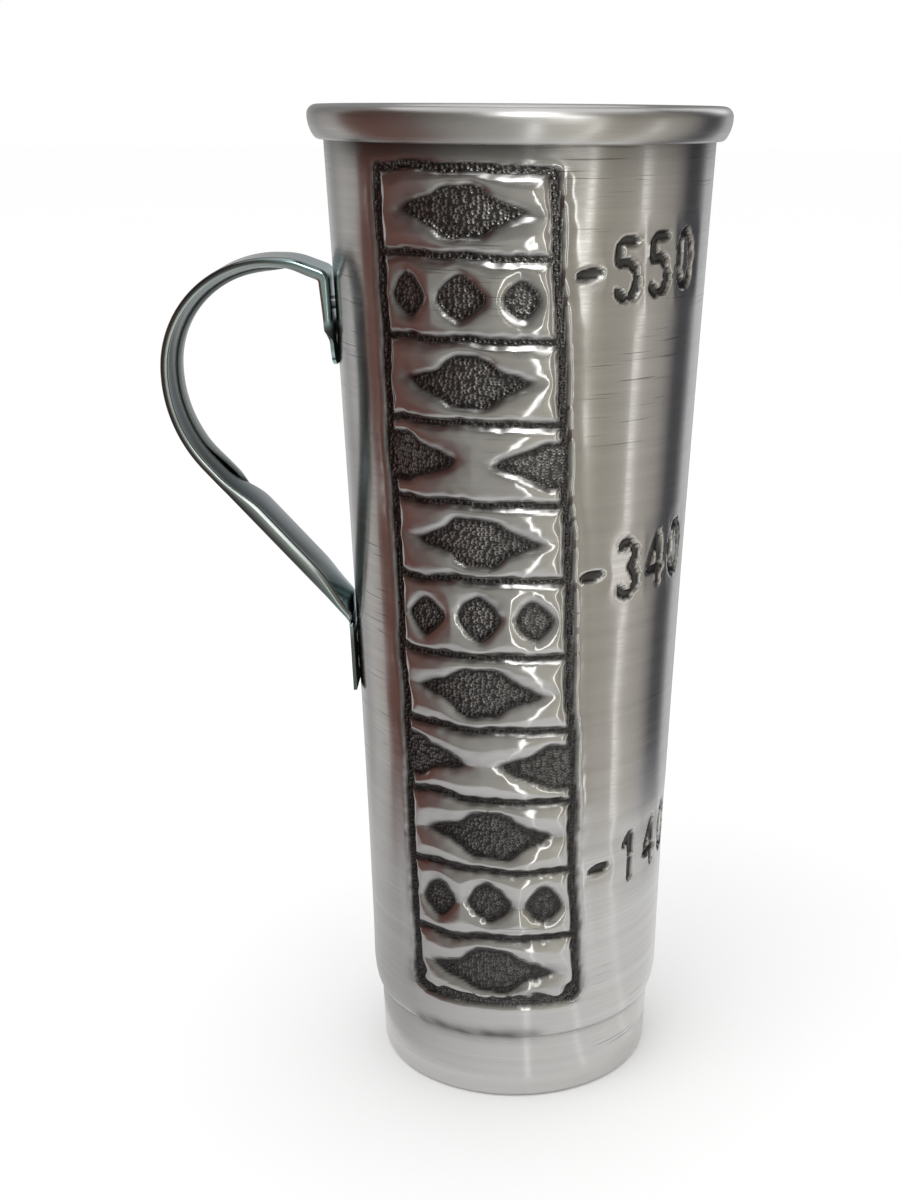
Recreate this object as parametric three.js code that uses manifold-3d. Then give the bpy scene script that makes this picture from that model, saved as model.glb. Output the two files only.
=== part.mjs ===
// Aluminium tumbler with a riveted strap handle, in millimetres.
// The base rests on z = 0, the cup's axis is Z, and the handle points along -X.
import * as THREE from "three";
import { mergeVertices } from "three/addons/utils/BufferGeometryUtils.js";
import Module from "manifold-3d";

// Cup sizes
const HEIGHT = 200;
const SHEET = 1.0;
const BASE_RADIUS = 28.9;
const BASE_CORNER = 1.4;
const FOOT_HEIGHT = 14.6;
const FOOT_FLARE = 0.55;
const STEP_WIDTH = 1.6;
const STEP_RISE = 6.9;
const WALL_FLARE = 7.1;
const WALL_BOW = 1.27;

// Rolled rim sizes
const RIM_HOLLOW = 0.92;
const RIM_RADIUS = SHEET + RIM_HOLLOW;
const RIM_TAPER_RADIUS = 6.4;
const RIM_TAPER_ANGLE = THREE.MathUtils.degToRad(34);
const RIM_TUCK_HOLLOW = 0.5;
const RIM_TUCK_ANGLE = THREE.MathUtils.degToRad(36);

// Handle sizes
const STRAP_WIDTH = 14;
const STRAP_SHEET = 0.7;
const HANDLE_REACH = 70.8;
const HANDLE_TOP = 171.3;
const LOOP_HEIGHT = 73.8;
const TOP_RUN = 7.4;
const TOP_DROP = 2.7;
const TOP_FLAT = 3.1;
const UPPER_ARC_SHARE = 0.66;
const LOWER_ARC_SHARE = 0.98;
const DIAGONAL = THREE.MathUtils.degToRad(47.7);
const UPPER_BEND = 2.7;
const TOP_BEND = 14;
const LOWER_BEND = 4;
const UPPER_TAB_LENGTH = 18.6;
const LOWER_TAB_LENGTH = 14.8;
const TAB_CORNER = 5;

// Folded edges at places along the strap: the width of the flange, the hollow between it and the sheet,
// the height of the bevel beside its round edge, and the rise of its crown
const FOLD_LIP = 0.65;
const FOLD_LEAST = STRAP_SHEET + FOLD_LIP;
const FOLD_SHUT = 0.05;
const FOLD_ON_TAB = { width: FOLD_LEAST, hollow: 0.35, bevel: 0.45, crown: 0.05 };
const FOLD_AT_BEND = { width: FOLD_LEAST, hollow: 0.85, bevel: 0.45, crown: 0.05 };
const NEAR_ON_ARC = { width: 0.386 * STRAP_WIDTH, hollow: 0.15, bevel: 0.45, crown: 0.9 };
const NEAR_ON_DIAGONAL = { width: 0.857 * STRAP_WIDTH, hollow: 1.6, bevel: 0.9, crown: 0.6 };
const NEAR_AT_FOOT = { width: 0.857 * STRAP_WIDTH, hollow: FOLD_SHUT, bevel: 0.7, crown: 2.15 };
const FAR_ON_ARC = { width: 0.586 * STRAP_WIDTH, hollow: 0.15, bevel: 0.45, crown: 1.65 };
const FAR_AT_KINK = { width: 0.486 * STRAP_WIDTH, hollow: 0.15, bevel: 0.45, crown: 2 };
const FAR_ON_DIAGONAL = { width: FOLD_LEAST, hollow: 0.15, bevel: 0.45, crown: 0.05 };
const BEVEL_SLOPE = Math.tan(THREE.MathUtils.degToRad(32));
const EDGE_ROUND = 0.85;
const FOLD_HEEL = 0.15;

// Lengths along the strap over which the folded edges change
const FOLD_RUN_OUT = 2.5;
const FOLD_GROW = 14;
const KINK_RUN = 5;
const NEAR_LEAD = 2;
const NEAR_SHIFT = 11;
const FAR_SHIFT = 9;
const FOOT_RUN = 11;

// Rivet sizes, and the two rivets' places as shares of a tab's length from its end
const RIVET_SHANK = 1.3;
const RIVET_HEAD = 2.3;
const RIVET_HEAD_HEIGHT = 0.55;
const RIVET_LOW = 0.27;
const RIVET_HIGH = 0.65;

// Clearances
const TAB_GAP = 0.3;
const SEAT_GAP = 0.2;
const HOLE_GAP = 0.3;
const RIM_GAP = 0.35;

// Smoothness
const CUP_SEGMENTS = 64;
const RIVET_SEGMENTS = 16;
const WALL_STEPS = 8;
const RIM_STEPS = 9;
const TURN_STEPS = 6;
const DOME_STEPS = 4;
const TAB_STEPS = 6;
const EDGE_STEPS = 2;
const FLANGE_STEPS = 3;
const BEND_STEPS = [0, 5, 3, 14, 9, 5, 0];
const LINE_STEPS = [0, 1, 1, 1, 14, 4];
const SAME_POINT = 1e-4;
const LEAST_LEAN = 0.1;

const wasm = await Module();
wasm.setup();

const alloy = new THREE.MeshStandardMaterial({ color: 0xb4b3b0, roughness: 0.32, metalness: 1 });
const plated = new THREE.MeshStandardMaterial({ color: 0x8d9b9b, roughness: 0.28, metalness: 1 });
const rivetAlloy = new THREE.MeshStandardMaterial({ color: 0xc2c2c0, roughness: 0.35, metalness: 1 });

const v2 = (x, y) => new THREE.Vector2(x, y);

function solidOf(geometry) {
  const bare = new THREE.BufferGeometry().setAttribute("position", geometry.getAttribute("position"));
  if (geometry.index) bare.setIndex(geometry.index);
  const merged = mergeVertices(bare, SAME_POINT);
  return new wasm.Manifold(
    new wasm.Mesh({
      numProp: 3,
      vertProperties: new Float32Array(merged.attributes.position.array),
      triVerts: new Uint32Array(merged.index.array),
    }),
  );
}

function geometryOf(solid) {
  const mesh = solid.getMesh();
  return new THREE.BufferGeometry()
    .setAttribute("position", new THREE.BufferAttribute(new Float32Array(mesh.vertProperties), 3))
    .setIndex(new THREE.BufferAttribute(new Uint32Array(mesh.triVerts), 1));
}

function named(name, geometry, material) {
  geometry.computeVertexNormals();
  const mesh = new THREE.Mesh(geometry, material);
  mesh.name = name;
  return mesh;
}

// Points of an arc in a profile, from one angle to another, without its first point.
function arc(centre, radius, from, to, steps) {
  const points = [];
  for (let i = 1; i <= steps; i++) {
    const a = from + ((to - from) * i) / steps;
    points.push(v2(centre.x + radius * Math.cos(a), centre.y + radius * Math.sin(a)));
  }
  return points;
}

// A quarter ellipse of a step, from its foot end up to its wall end, without the first point.
function stepCurve(footRadius, footHeight, width, rise) {
  const points = [];
  for (let i = 1; i <= TURN_STEPS; i++) {
    const a = ((Math.PI / 2) * i) / TURN_STEPS;
    points.push(v2(footRadius + width * Math.sin(a), footHeight + rise * (1 - Math.cos(a))));
  }
  return points;
}

// Cup wall
const STEP_TOP = FOOT_HEIGHT + STEP_RISE;
const FOOT_RADIUS = BASE_RADIUS + FOOT_FLARE;
const BODY_RADIUS = FOOT_RADIUS + STEP_WIDTH;
const RIM_CENTRE_HEIGHT = HEIGHT - RIM_RADIUS;

function wallRadius(z) {
  const share = THREE.MathUtils.clamp((z - STEP_TOP) / (RIM_CENTRE_HEIGHT - STEP_TOP), 0, 1);
  return BODY_RADIUS + WALL_FLARE * Math.pow(share, WALL_BOW);
}

function wallSlope(z) {
  return Math.atan((wallRadius(z + 1) - wallRadius(z - 1)) / 2);
}

function wallPoints(inset) {
  const points = [];
  for (let i = 1; i <= WALL_STEPS; i++) {
    const z = STEP_TOP + ((RIM_CENTRE_HEIGHT - STEP_TOP) * i) / WALL_STEPS;
    points.push(v2(wallRadius(z) - inset, z));
  }
  return points;
}

// The rim sheet past the wall top: over, down, and tucked in to the wall. Offset moves it to either face.
function rimPoints(offset) {
  const middle = RIM_RADIUS - SHEET / 2;
  const centre = v2(wallRadius(RIM_CENTRE_HEIGHT) - SHEET + RIM_RADIUS, RIM_CENTRE_HEIGHT);
  const over = arc(centre, middle + offset, Math.PI, 0, RIM_STEPS);
  const taperCentre = v2(centre.x + middle - RIM_TAPER_RADIUS, centre.y);
  const taper = arc(taperCentre, RIM_TAPER_RADIUS + offset, 0, -RIM_TAPER_ANGLE, TURN_STEPS / 2);
  const tuckRadius = RIM_TUCK_HOLLOW + SHEET / 2;
  const reach = RIM_TAPER_RADIUS - tuckRadius;
  const tuckCentre = v2(
    taperCentre.x + reach * Math.cos(RIM_TAPER_ANGLE),
    taperCentre.y - reach * Math.sin(RIM_TAPER_ANGLE),
  );
  const tuckEnd = -RIM_TAPER_ANGLE - RIM_TUCK_ANGLE;
  const tuck = arc(tuckCentre, tuckRadius + offset, -RIM_TAPER_ANGLE, tuckEnd, TURN_STEPS / 2);
  for (const p of tuck) p.x = Math.max(p.x, wallRadius(p.y) + RIM_GAP);
  return [...over, ...taper, ...tuck];
}

function cupProfile() {
  const footInner = BASE_RADIUS - SHEET;
  const cornerOuter = v2(BASE_RADIUS - BASE_CORNER, BASE_CORNER);
  const innerCorner = Math.max(BASE_CORNER - SHEET, SHEET / 2);
  const cornerInner = v2(footInner - innerCorner, SHEET + innerCorner);
  const outside = [
    v2(0, 0),
    v2(BASE_RADIUS - BASE_CORNER, 0),
    ...arc(cornerOuter, BASE_CORNER, -Math.PI / 2, 0, TURN_STEPS / 2),
    v2(FOOT_RADIUS, FOOT_HEIGHT),
    ...stepCurve(FOOT_RADIUS, FOOT_HEIGHT, STEP_WIDTH, STEP_RISE),
    ...wallPoints(0),
    ...rimPoints(-SHEET / 2),
  ];
  const inside = [
    v2(0, SHEET),
    v2(footInner - innerCorner, SHEET),
    ...arc(cornerInner, innerCorner, -Math.PI / 2, 0, TURN_STEPS / 2),
    v2(FOOT_RADIUS - SHEET, FOOT_HEIGHT + SHEET),
    ...stepCurve(FOOT_RADIUS - SHEET, FOOT_HEIGHT + SHEET, STEP_WIDTH, STEP_RISE - SHEET),
    ...wallPoints(SHEET),
    ...rimPoints(SHEET / 2),
  ];
  return [...outside, ...inside.reverse()];
}

// Heights on the handle's side
const LOWER_BEND_HEIGHT = HANDLE_TOP - LOOP_HEIGHT;
const LOWER_TAB_END = LOWER_BEND_HEIGHT - LOWER_TAB_LENGTH;
const UPPER_BEND_HEIGHT = HANDLE_TOP - TOP_DROP;
const UPPER_TAB_END = UPPER_BEND_HEIGHT - UPPER_TAB_LENGTH;

// Handle path: corners of the strap's outer face, as distance from the axis and height, with bend radii.
function handleCorners() {
  const lowerRadius = wallRadius(LOWER_BEND_HEIGHT) + TAB_GAP + STRAP_SHEET;
  const upperRadius = wallRadius(UPPER_BEND_HEIGHT) + TAB_GAP;
  const diagonalTop = LOWER_BEND_HEIGHT + (HANDLE_REACH - lowerRadius) * Math.tan(DIAGONAL);
  const side = HANDLE_TOP - diagonalTop;
  const upperArc = Math.min(HANDLE_REACH - upperRadius - TOP_RUN - TOP_FLAT, side * UPPER_ARC_SHARE);
  const lowerArc = ((side - upperArc) * LOWER_ARC_SHARE) / Math.tan((Math.PI / 2 - DIAGONAL) / 2);
  return [
    { at: v2(wallRadius(UPPER_TAB_END) + TAB_GAP, UPPER_TAB_END), bend: 0 },
    { at: v2(upperRadius, UPPER_BEND_HEIGHT), bend: UPPER_BEND },
    { at: v2(upperRadius + TOP_RUN, HANDLE_TOP), bend: TOP_BEND },
    { at: v2(HANDLE_REACH, HANDLE_TOP), bend: upperArc },
    { at: v2(HANDLE_REACH, diagonalTop), bend: lowerArc },
    { at: v2(lowerRadius, LOWER_BEND_HEIGHT), bend: LOWER_BEND },
    { at: v2(wallRadius(LOWER_TAB_END) + TAB_GAP + STRAP_SHEET, LOWER_TAB_END), bend: 0 },
  ];
}

// Distances from the upper tab's end at which its rounded corners and the start of its folds have stations.
function tabPlaces() {
  const places = [];
  for (let k = 0; k <= TAB_STEPS; k++) {
    places.push(TAB_CORNER * (1 - Math.cos(((Math.PI / 2) * k) / TAB_STEPS)));
  }
  return [...places, TAB_CORNER + FOLD_RUN_OUT];
}

// Distances along a straight part, closer together towards its ends.
function linePlaces(length, steps) {
  const places = [];
  for (let k = 0; k <= steps; k++) places.push((length * (1 - Math.cos((Math.PI * k) / steps))) / 2);
  return places;
}

// The path as stations: a point, the outward direction there, and the length run so far.
// Bends holds the lengths run at the start and at the end of each bend.
function handleStations(corners) {
  const stations = [];
  const bends = [];
  const last = () => stations[stations.length - 1];
  const add = (point, along) => {
    const run = last() ? last().run + last().point.distanceTo(point) : 0;
    if (last() && run - last().run < SAME_POINT) return;
    stations.push({ point: point.clone(), out: v2(-along.y, along.x), run });
  };
  let start = corners[0].at;
  for (let i = 1; i < corners.length; i++) {
    const into = corners[i].at.clone().sub(corners[i - 1].at).normalize();
    const next = corners[i + 1];
    const onward = next ? next.at.clone().sub(corners[i].at).normalize() : into;
    const turn = Math.atan2(into.cross(onward), into.dot(onward));
    const cut = corners[i].bend * Math.tan(Math.abs(turn) / 2);
    const bendStart = corners[i].at.clone().addScaledVector(into, -cut);
    const places = i === 1 ? tabPlaces() : linePlaces(start.distanceTo(bendStart), LINE_STEPS[i - 1]);
    for (const place of places) add(start.clone().addScaledVector(into, place), into);
    add(bendStart, into);
    const from = last().run;
    const side = Math.sign(turn);
    const centre = bendStart.clone().addScaledVector(v2(-into.y, into.x), side * corners[i].bend);
    for (let k = 1; k <= BEND_STEPS[i]; k++) {
      const part = (turn * k) / BEND_STEPS[i];
      const along = into.clone().rotateAround(v2(0, 0), part);
      add(centre.clone().addScaledVector(v2(-along.y, along.x), -side * corners[i].bend), along);
    }
    bends.push({ from, to: last().run });
    start = last().point;
  }
  return { stations, bends };
}

// A point of the strap: across is the width direction, deep is the distance in from the outer face.
function strapPoint(station, across, deep) {
  const p = station.point.clone().addScaledVector(station.out, -deep);
  return new THREE.Vector3(-p.x, across, p.y);
}

// A closed solid through rings of points, one to each station. Its flat ends are closed from their middles.
function loft(rings) {
  const count = rings[0].length;
  const last = (rings.length - 1) * count;
  const positions = rings.flat();
  const index = [];
  for (let i = 0; i + 1 < rings.length; i++) {
    for (let k = 0; k < count; k++) {
      const a = i * count + k;
      const b = i * count + ((k + 1) % count);
      index.push(a, b, a + count, b, b + count, a + count);
    }
  }
  for (const [first, flip] of [[0, true], [last, false]]) {
    const middle = new THREE.Vector3();
    for (let k = 0; k < count; k++) middle.addScaledVector(positions[first + k], 1 / count);
    const centre = positions.push(middle) - 1;
    for (let k = 0; k < count; k++) {
      const a = first + k;
      const b = first + ((k + 1) % count);
      index.push(...(flip ? [b, a, centre] : [a, b, centre]));
    }
  }
  return new THREE.BufferGeometry().setFromPoints(positions).setIndex(index);
}

// Half an outline of the folded strap: outer face, round edge, bevel, crowned flange, its underside, hollow.
function foldedHalf(fold, room) {
  const depth = 2 * STRAP_SHEET + fold.hollow;
  const edge = depth - fold.bevel;
  const rise = Math.min(fold.crown, Math.max(room - depth, 0));
  const slant = fold.bevel * BEVEL_SLOPE;
  const middle = STRAP_WIDTH / 2;
  const flangeAt = (u) => depth + rise * (1 - ((middle - u) / (middle - slant)) ** 2);
  const round = EDGE_ROUND * Math.min(edge, FOLD_LEAST);
  const turn = new THREE.QuadraticBezierCurve(v2(round, 0), v2(0, 0), v2(0, round));
  const points = [v2(FOLD_LEAST, 0), ...turn.getPoints(EDGE_STEPS), v2(0, edge), v2(slant, depth)];
  for (let k = 1; k <= FLANGE_STEPS; k++) {
    const u = THREE.MathUtils.lerp(slant, fold.width, k / FLANGE_STEPS);
    points.push(v2(u, flangeAt(u)));
  }
  const heel = Math.max(STRAP_SHEET, slant) + FOLD_HEEL;
  for (let k = 0; k < FLANGE_STEPS; k++) {
    const u = THREE.MathUtils.lerp(fold.width, heel, k / (FLANGE_STEPS - 1));
    points.push(v2(u, flangeAt(u) - STRAP_SHEET));
  }
  points.push(v2(STRAP_SHEET, depth / 2), v2(FOLD_LEAST, STRAP_SHEET));
  return points.map((p) => v2(middle - p.x, p.y));
}

// The same number of points along half an outline of the flat tab: its outer face, its edge, its other face.
function flatHalf(halfWidth) {
  const steps = foldedHalf(FOLD_ON_TAB, Infinity).length - 1;
  const side = Math.floor(steps / 3);
  const root = halfWidth - FOLD_LEAST;
  const corners = [v2(root, 0), v2(halfWidth, 0), v2(halfWidth, STRAP_SHEET), v2(root, STRAP_SHEET)];
  const points = [corners[0]];
  for (const [i, count] of [side, side, steps - 2 * side].entries()) {
    for (let k = 1; k <= count; k++) points.push(corners[i].clone().lerp(corners[i + 1], k / count));
  }
  return points;
}

// A ring of points of the strap at a station, from half outlines for the far and the near edge.
function ringAt(station, far, near) {
  const mirrored = near.map((p) => v2(-p.x, p.y)).reverse();
  return [...far, ...mirrored].map((p) => strapPoint(station, p.x, p.y));
}

// Sizes of the near and the far folded edge at the places where they are given, by length run.
function foldKeys(bends) {
  const [upper, , , arch, foot] = bends;
  const kink = arch.to + KINK_RUN;
  const begin = [
    { run: TAB_CORNER + FOLD_RUN_OUT, ...FOLD_ON_TAB },
    { run: upper.to, ...FOLD_AT_BEND },
  ];
  const near = [
    ...begin,
    { run: upper.to + FOLD_GROW, ...NEAR_ON_ARC },
    { run: kink - NEAR_LEAD, ...NEAR_ON_ARC },
    { run: kink - NEAR_LEAD + NEAR_SHIFT, ...NEAR_ON_DIAGONAL },
    { run: foot.from - FOOT_RUN, ...NEAR_ON_DIAGONAL },
    { run: foot.from, ...NEAR_AT_FOOT },
  ];
  const far = [
    ...begin,
    { run: upper.to + FOLD_GROW, ...FAR_ON_ARC },
    { run: arch.to - KINK_RUN, ...FAR_ON_ARC },
    { run: kink, ...FAR_AT_KINK },
    { run: kink + FAR_SHIFT, ...FAR_ON_DIAGONAL },
  ];
  return { near, far };
}

// Sizes of a folded edge at a length run, eased between the places where they are given.
function foldAt(keys, run) {
  let i = 0;
  while (i < keys.length - 2 && run > keys[i + 1].run) i++;
  const share = THREE.MathUtils.smoothstep(run, keys[i].run, keys[i + 1].run);
  const fold = {};
  for (const name of Object.keys(FOLD_ON_TAB)) {
    fold[name] = THREE.MathUtils.lerp(keys[i][name], keys[i + 1][name], share);
  }
  return fold;
}

// How deep the strap can be at a station before it meets the wall.
function roomToWall(station) {
  const { point, out } = station;
  const closing = out.x - Math.tan(wallSlope(point.y)) * out.y;
  return closing < LEAST_LEAN ? Infinity : (point.x - wallRadius(point.y) - TAB_GAP) / closing;
}

function drillAt(z) {
  const radius = RIVET_SHANK + HOLE_GAP;
  const length = 2 * (SHEET + TAB_GAP + STRAP_SHEET + SEAT_GAP);
  const drill = new THREE.CylinderGeometry(radius, radius, length, RIVET_SEGMENTS);
  placeOnWall(drill, z);
  return solidOf(drill);
}

// Turns a shape from its own +Y axis to the wall's outward direction at a height on the handle's side.
function placeOnWall(geometry, z) {
  geometry.rotateZ(Math.PI / 2);
  geometry.rotateY(-wallSlope(z));
  geometry.translate(-wallRadius(z), 0, z);
}

const RIVETS = {
  rivet_upper_low: UPPER_TAB_END + RIVET_LOW * UPPER_TAB_LENGTH,
  rivet_upper_high: UPPER_TAB_END + RIVET_HIGH * UPPER_TAB_LENGTH,
  rivet_lower_low: LOWER_TAB_END + RIVET_LOW * LOWER_TAB_LENGTH,
  rivet_lower_high: LOWER_TAB_END + RIVET_HIGH * LOWER_TAB_LENGTH,
};

function drilled(solid) {
  let result = solid;
  for (const z of Object.values(RIVETS)) result = result.subtract(drillAt(z));
  return result;
}

function makeHandle() {
  const { stations, bends } = handleStations(handleCorners());
  const keys = foldKeys(bends);
  const shut = 2 * STRAP_SHEET + FOLD_SHUT;
  const rings = stations.map((s) => {
    const room = roomToWall(s);
    if (s.run > TAB_CORNER + SAME_POINT && room > shut) {
      return ringAt(s, foldedHalf(foldAt(keys.far, s.run), room), foldedHalf(foldAt(keys.near, s.run), room));
    }
    const left = Math.max(TAB_CORNER - s.run, 0);
    const trim = TAB_CORNER - Math.sqrt(TAB_CORNER ** 2 - left ** 2);
    const flat = flatHalf(STRAP_WIDTH / 2 - trim);
    return ringAt(s, flat, flat);
  });
  return drilled(solidOf(loft(rings)));
}

// One rivet about its own +Y axis, which points out of the cup.
function rivetProfile() {
  const outerSeat = TAB_GAP + STRAP_SHEET + SEAT_GAP;
  const innerSeat = -SHEET - SEAT_GAP;
  const dome = (seat, height) => {
    const points = [];
    for (let k = 0; k <= DOME_STEPS; k++) {
      const a = ((Math.PI / 2) * k) / DOME_STEPS;
      points.push(v2(k === DOME_STEPS ? 0 : RIVET_HEAD * Math.cos(a), seat + height * Math.sin(a)));
    }
    return points;
  };
  return [
    ...dome(innerSeat, -RIVET_HEAD_HEIGHT).reverse(),
    v2(RIVET_SHANK, innerSeat),
    v2(RIVET_SHANK, outerSeat),
    ...dome(outerSeat, RIVET_HEAD_HEIGHT),
  ];
}

const tumbler = new THREE.Group();
tumbler.name = "tumbler";

const shell = drilled(solidOf(new THREE.LatheGeometry(cupProfile(), CUP_SEGMENTS).rotateX(Math.PI / 2)));
tumbler.add(named("cup_shell", geometryOf(shell), alloy));
tumbler.add(named("handle", geometryOf(makeHandle()), plated));
for (const [name, z] of Object.entries(RIVETS)) {
  const rivet = new THREE.LatheGeometry(rivetProfile(), RIVET_SEGMENTS);
  placeOnWall(rivet, z);
  tumbler.add(named(name, rivet, rivetAlloy));
}

export default tumbler;
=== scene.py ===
import math

import bpy
import numpy as np
from mathutils import Matrix, Vector


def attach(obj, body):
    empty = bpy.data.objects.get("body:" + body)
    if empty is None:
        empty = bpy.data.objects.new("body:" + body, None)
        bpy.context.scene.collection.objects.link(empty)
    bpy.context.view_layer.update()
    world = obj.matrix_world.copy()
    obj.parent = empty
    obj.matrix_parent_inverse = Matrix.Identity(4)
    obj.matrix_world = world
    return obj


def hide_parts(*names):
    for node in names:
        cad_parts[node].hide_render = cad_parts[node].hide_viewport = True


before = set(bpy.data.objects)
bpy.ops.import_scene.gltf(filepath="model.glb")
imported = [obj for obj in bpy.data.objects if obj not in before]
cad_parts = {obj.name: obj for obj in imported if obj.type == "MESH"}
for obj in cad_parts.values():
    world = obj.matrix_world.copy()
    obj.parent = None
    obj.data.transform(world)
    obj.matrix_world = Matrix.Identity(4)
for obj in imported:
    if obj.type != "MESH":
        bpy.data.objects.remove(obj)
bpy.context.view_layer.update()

MM = 0.001

# Cup sizes, in millimetres
HEIGHT = 200.0
SHEET = 1.0
BASE_RADIUS = 28.9
BASE_CORNER = 1.4
FOOT_HEIGHT = 14.6
FOOT_RADIUS = BASE_RADIUS + 0.55
STEP_WIDTH = 1.6
STEP_RISE = 6.9
STEP_TOP = FOOT_HEIGHT + STEP_RISE
BODY_RADIUS = FOOT_RADIUS + STEP_WIDTH
WALL_FLARE = 7.1
WALL_BOW = 1.27
RIM_RADIUS = SHEET + 0.92
RIM_CENTRE_HEIGHT = HEIGHT - RIM_RADIUS
RIM_TAPER_RADIUS = 6.4
RIM_TAPER_ANGLE = math.radians(34)
RIM_TUCK_RADIUS = 0.5 + SHEET / 2
RIM_TUCK_ANGLE = math.radians(36)
RIM_GAP = 0.35

# Handle sizes, in millimetres
STRAP_WIDTH = 14.0
STRAP_SHEET = 0.7
HANDLE_REACH = 70.8
HANDLE_TOP = 171.3
LOWER_BEND_HEIGHT = HANDLE_TOP - 73.8
UPPER_BEND_HEIGHT = HANDLE_TOP - 2.7
UPPER_TAB_LENGTH = 18.6
LOWER_TAB_LENGTH = 14.8
UPPER_TAB_END = UPPER_BEND_HEIGHT - UPPER_TAB_LENGTH
LOWER_TAB_END = LOWER_BEND_HEIGHT - LOWER_TAB_LENGTH
TOP_RUN = 7.4
TOP_FLAT = 3.1
UPPER_ARC_SHARE = 0.66
LOWER_ARC_SHARE = 0.98
DIAGONAL = math.radians(47.7)
TAB_CORNER = 5.0
TAB_GAP = 0.3
UPPER_BEND = 2.7
TOP_BEND = 14.0
LOWER_BEND = 4.0

# Folded edges at places along the strap, in millimetres: width, hollow under the flange, bevel, crown
FOLD_LEAST = STRAP_SHEET + 0.65
FOLD_ON_TAB = (FOLD_LEAST, 0.35, 0.45, 0.05)
FOLD_AT_BEND = (FOLD_LEAST, 0.85, 0.45, 0.05)
NEAR_ON_ARC = (5.4, 0.15, 0.45, 0.9)
NEAR_ON_DIAGONAL = (12.0, 1.6, 0.9, 0.6)
NEAR_AT_FOOT = (12.0, 0.05, 0.7, 2.15)
FAR_ON_ARC = (8.2, 0.15, 0.45, 1.65)
FAR_AT_KINK = (6.8, 0.15, 0.45, 2.0)
FAR_ON_DIAGONAL = (FOLD_LEAST, 0.15, 0.45, 0.05)
FOLD_SHUT = 2 * STRAP_SHEET + 0.05
FOLD_START = 7.5
FOLD_RUN_OUT = 2.5
FOLD_GROW = 14.0
KINK_RUN = 5.0
NEAR_LEAD = 2.0
NEAR_SHIFT = 11.0
FAR_SHIFT = 9.0
FOOT_RUN = 11.0
BEVEL_SLOPE = math.tan(math.radians(32))

# Rivet sizes, in millimetres
RIVET_HEAD = 2.3
RIVET_SHANK = 1.3
RIVET_HEAD_HEIGHT = 0.55
RIVET_SEAT = TAB_GAP + STRAP_SHEET + 0.2
RIVET_INNER_SEAT = -SHEET - 0.2
RIVET_LOW_SHARE = 0.27
RIVET_HIGH_SHARE = 0.65
RIVET_SIDES = 32
RIVET_DOME_STEPS = 8

# Relief panel: a strip of one width that leans a little, by its middle's angle from the front
PANEL_TOP = 190.6
PANEL_BOTTOM = 21.9
PANEL_HALF = 18.4
PANEL_ANGLE_TOP = math.radians(-17.3)
PANEL_ANGLE_BOTTOM = math.radians(-8.2)
FRAME_HALF = 0.92
CELLS = 11
POCKET_DEPTH = 0.65
PILLOW_RISE = 1.1
PILLOW_WIDTH = 2.6
LIP_RISE = 0.5
LIP_WIDTH = 1.7
LIP_LEFT = 0.3
LOZENGE_ROUND = 1.45
PUNCH_PITCH = 1.5
PUNCH_RADIUS = 0.72
PUNCH_DEPTH = 0.1
PUNCH_JITTER = 0.45
PANEL_CORNER_HIGH = 1.6
PANEL_CORNER_LOW = 5.0
DIVIDER_HALF = 0.72

# Handwork in the panel: how far its lines stray, and how its frame thickens towards the bottom
SWAY_WIDE = 0.3
SWAY_TALL = 0.35
EDGE_SWAY = 0.08
SMUDGE_HIGH = 34.0
RAGGED_HIGH = 32.0
RAGGED_LOW = 24.0
RAGGED_MORE = 0.65
RAGGED_SWING = 0.55
CELL_LEAN = 0.03
CELL_SHIFT = 0.5

# Half sizes and places of the pockets, which shrink a little from field to field
CELL_SIZE = 1.03
CELL_SHRINK = 0.07
LOZENGE_BODY = (5.4, 4.7)
LOZENGE_BODY_CORNER = 3.2
LOZENGE_ARMS = (12.8, 3.3)
ROOT_PLACE = 16.0
ROOT_HALF = (4.2, 4.6)
ROOT_CORNER = 3.0
POINT_PLACE = 13.0
POINT_HALF = (9.6, 3.2)
DIAMOND_MIDDLE = (4.7, 4.6)
DIAMOND_OUTER = (3.9, 4.1)
DIAMOND_PLACE = 11.0
JOIN_SOFTNESS = 0.9

# How the relief rounds over, by distance from its edges, and its soft dents
PANEL_EDGE = (0.4, -0.4)
POCKET_WALL = (-1.0, 0.8)
POCKET_DARK = (-0.3, 0.45)
LIP_TURN = 8.0
LIP_TOP_RUN = 3.0
LIP_TOP_LOSS = 0.75
LIP_SWAY = 0.15
DENT_REACH = 9.0
DENT_SWAY = 0.11
RELIEF_FOOT_RUN = 1.5
RELIEF_RIM_GAP = 1.0
RELIEF_RIM_RUN = 4.0

# Dark halo round the sunk lines, and where worn punch marks and burnishing show
HALO_REACH = 0.7
HALO_LEAST = 0.1
HALO_SMOKE = 0.4
HALO_SMUDGE = 0.6
POCKET_MARKS = (-0.8, -1.3)
LINE_MARKS = (-0.1, -0.5)
BEADS_LEAST = 0.36
BEADS_MORE = 0.3
BEADS_RANGE = (150.0, 188.0)
MARKS_LEAST = 0.5
MARKS_RANGE = (50.0, 120.0)
BURNISH_EDGE = (4.5, 2.0)

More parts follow.
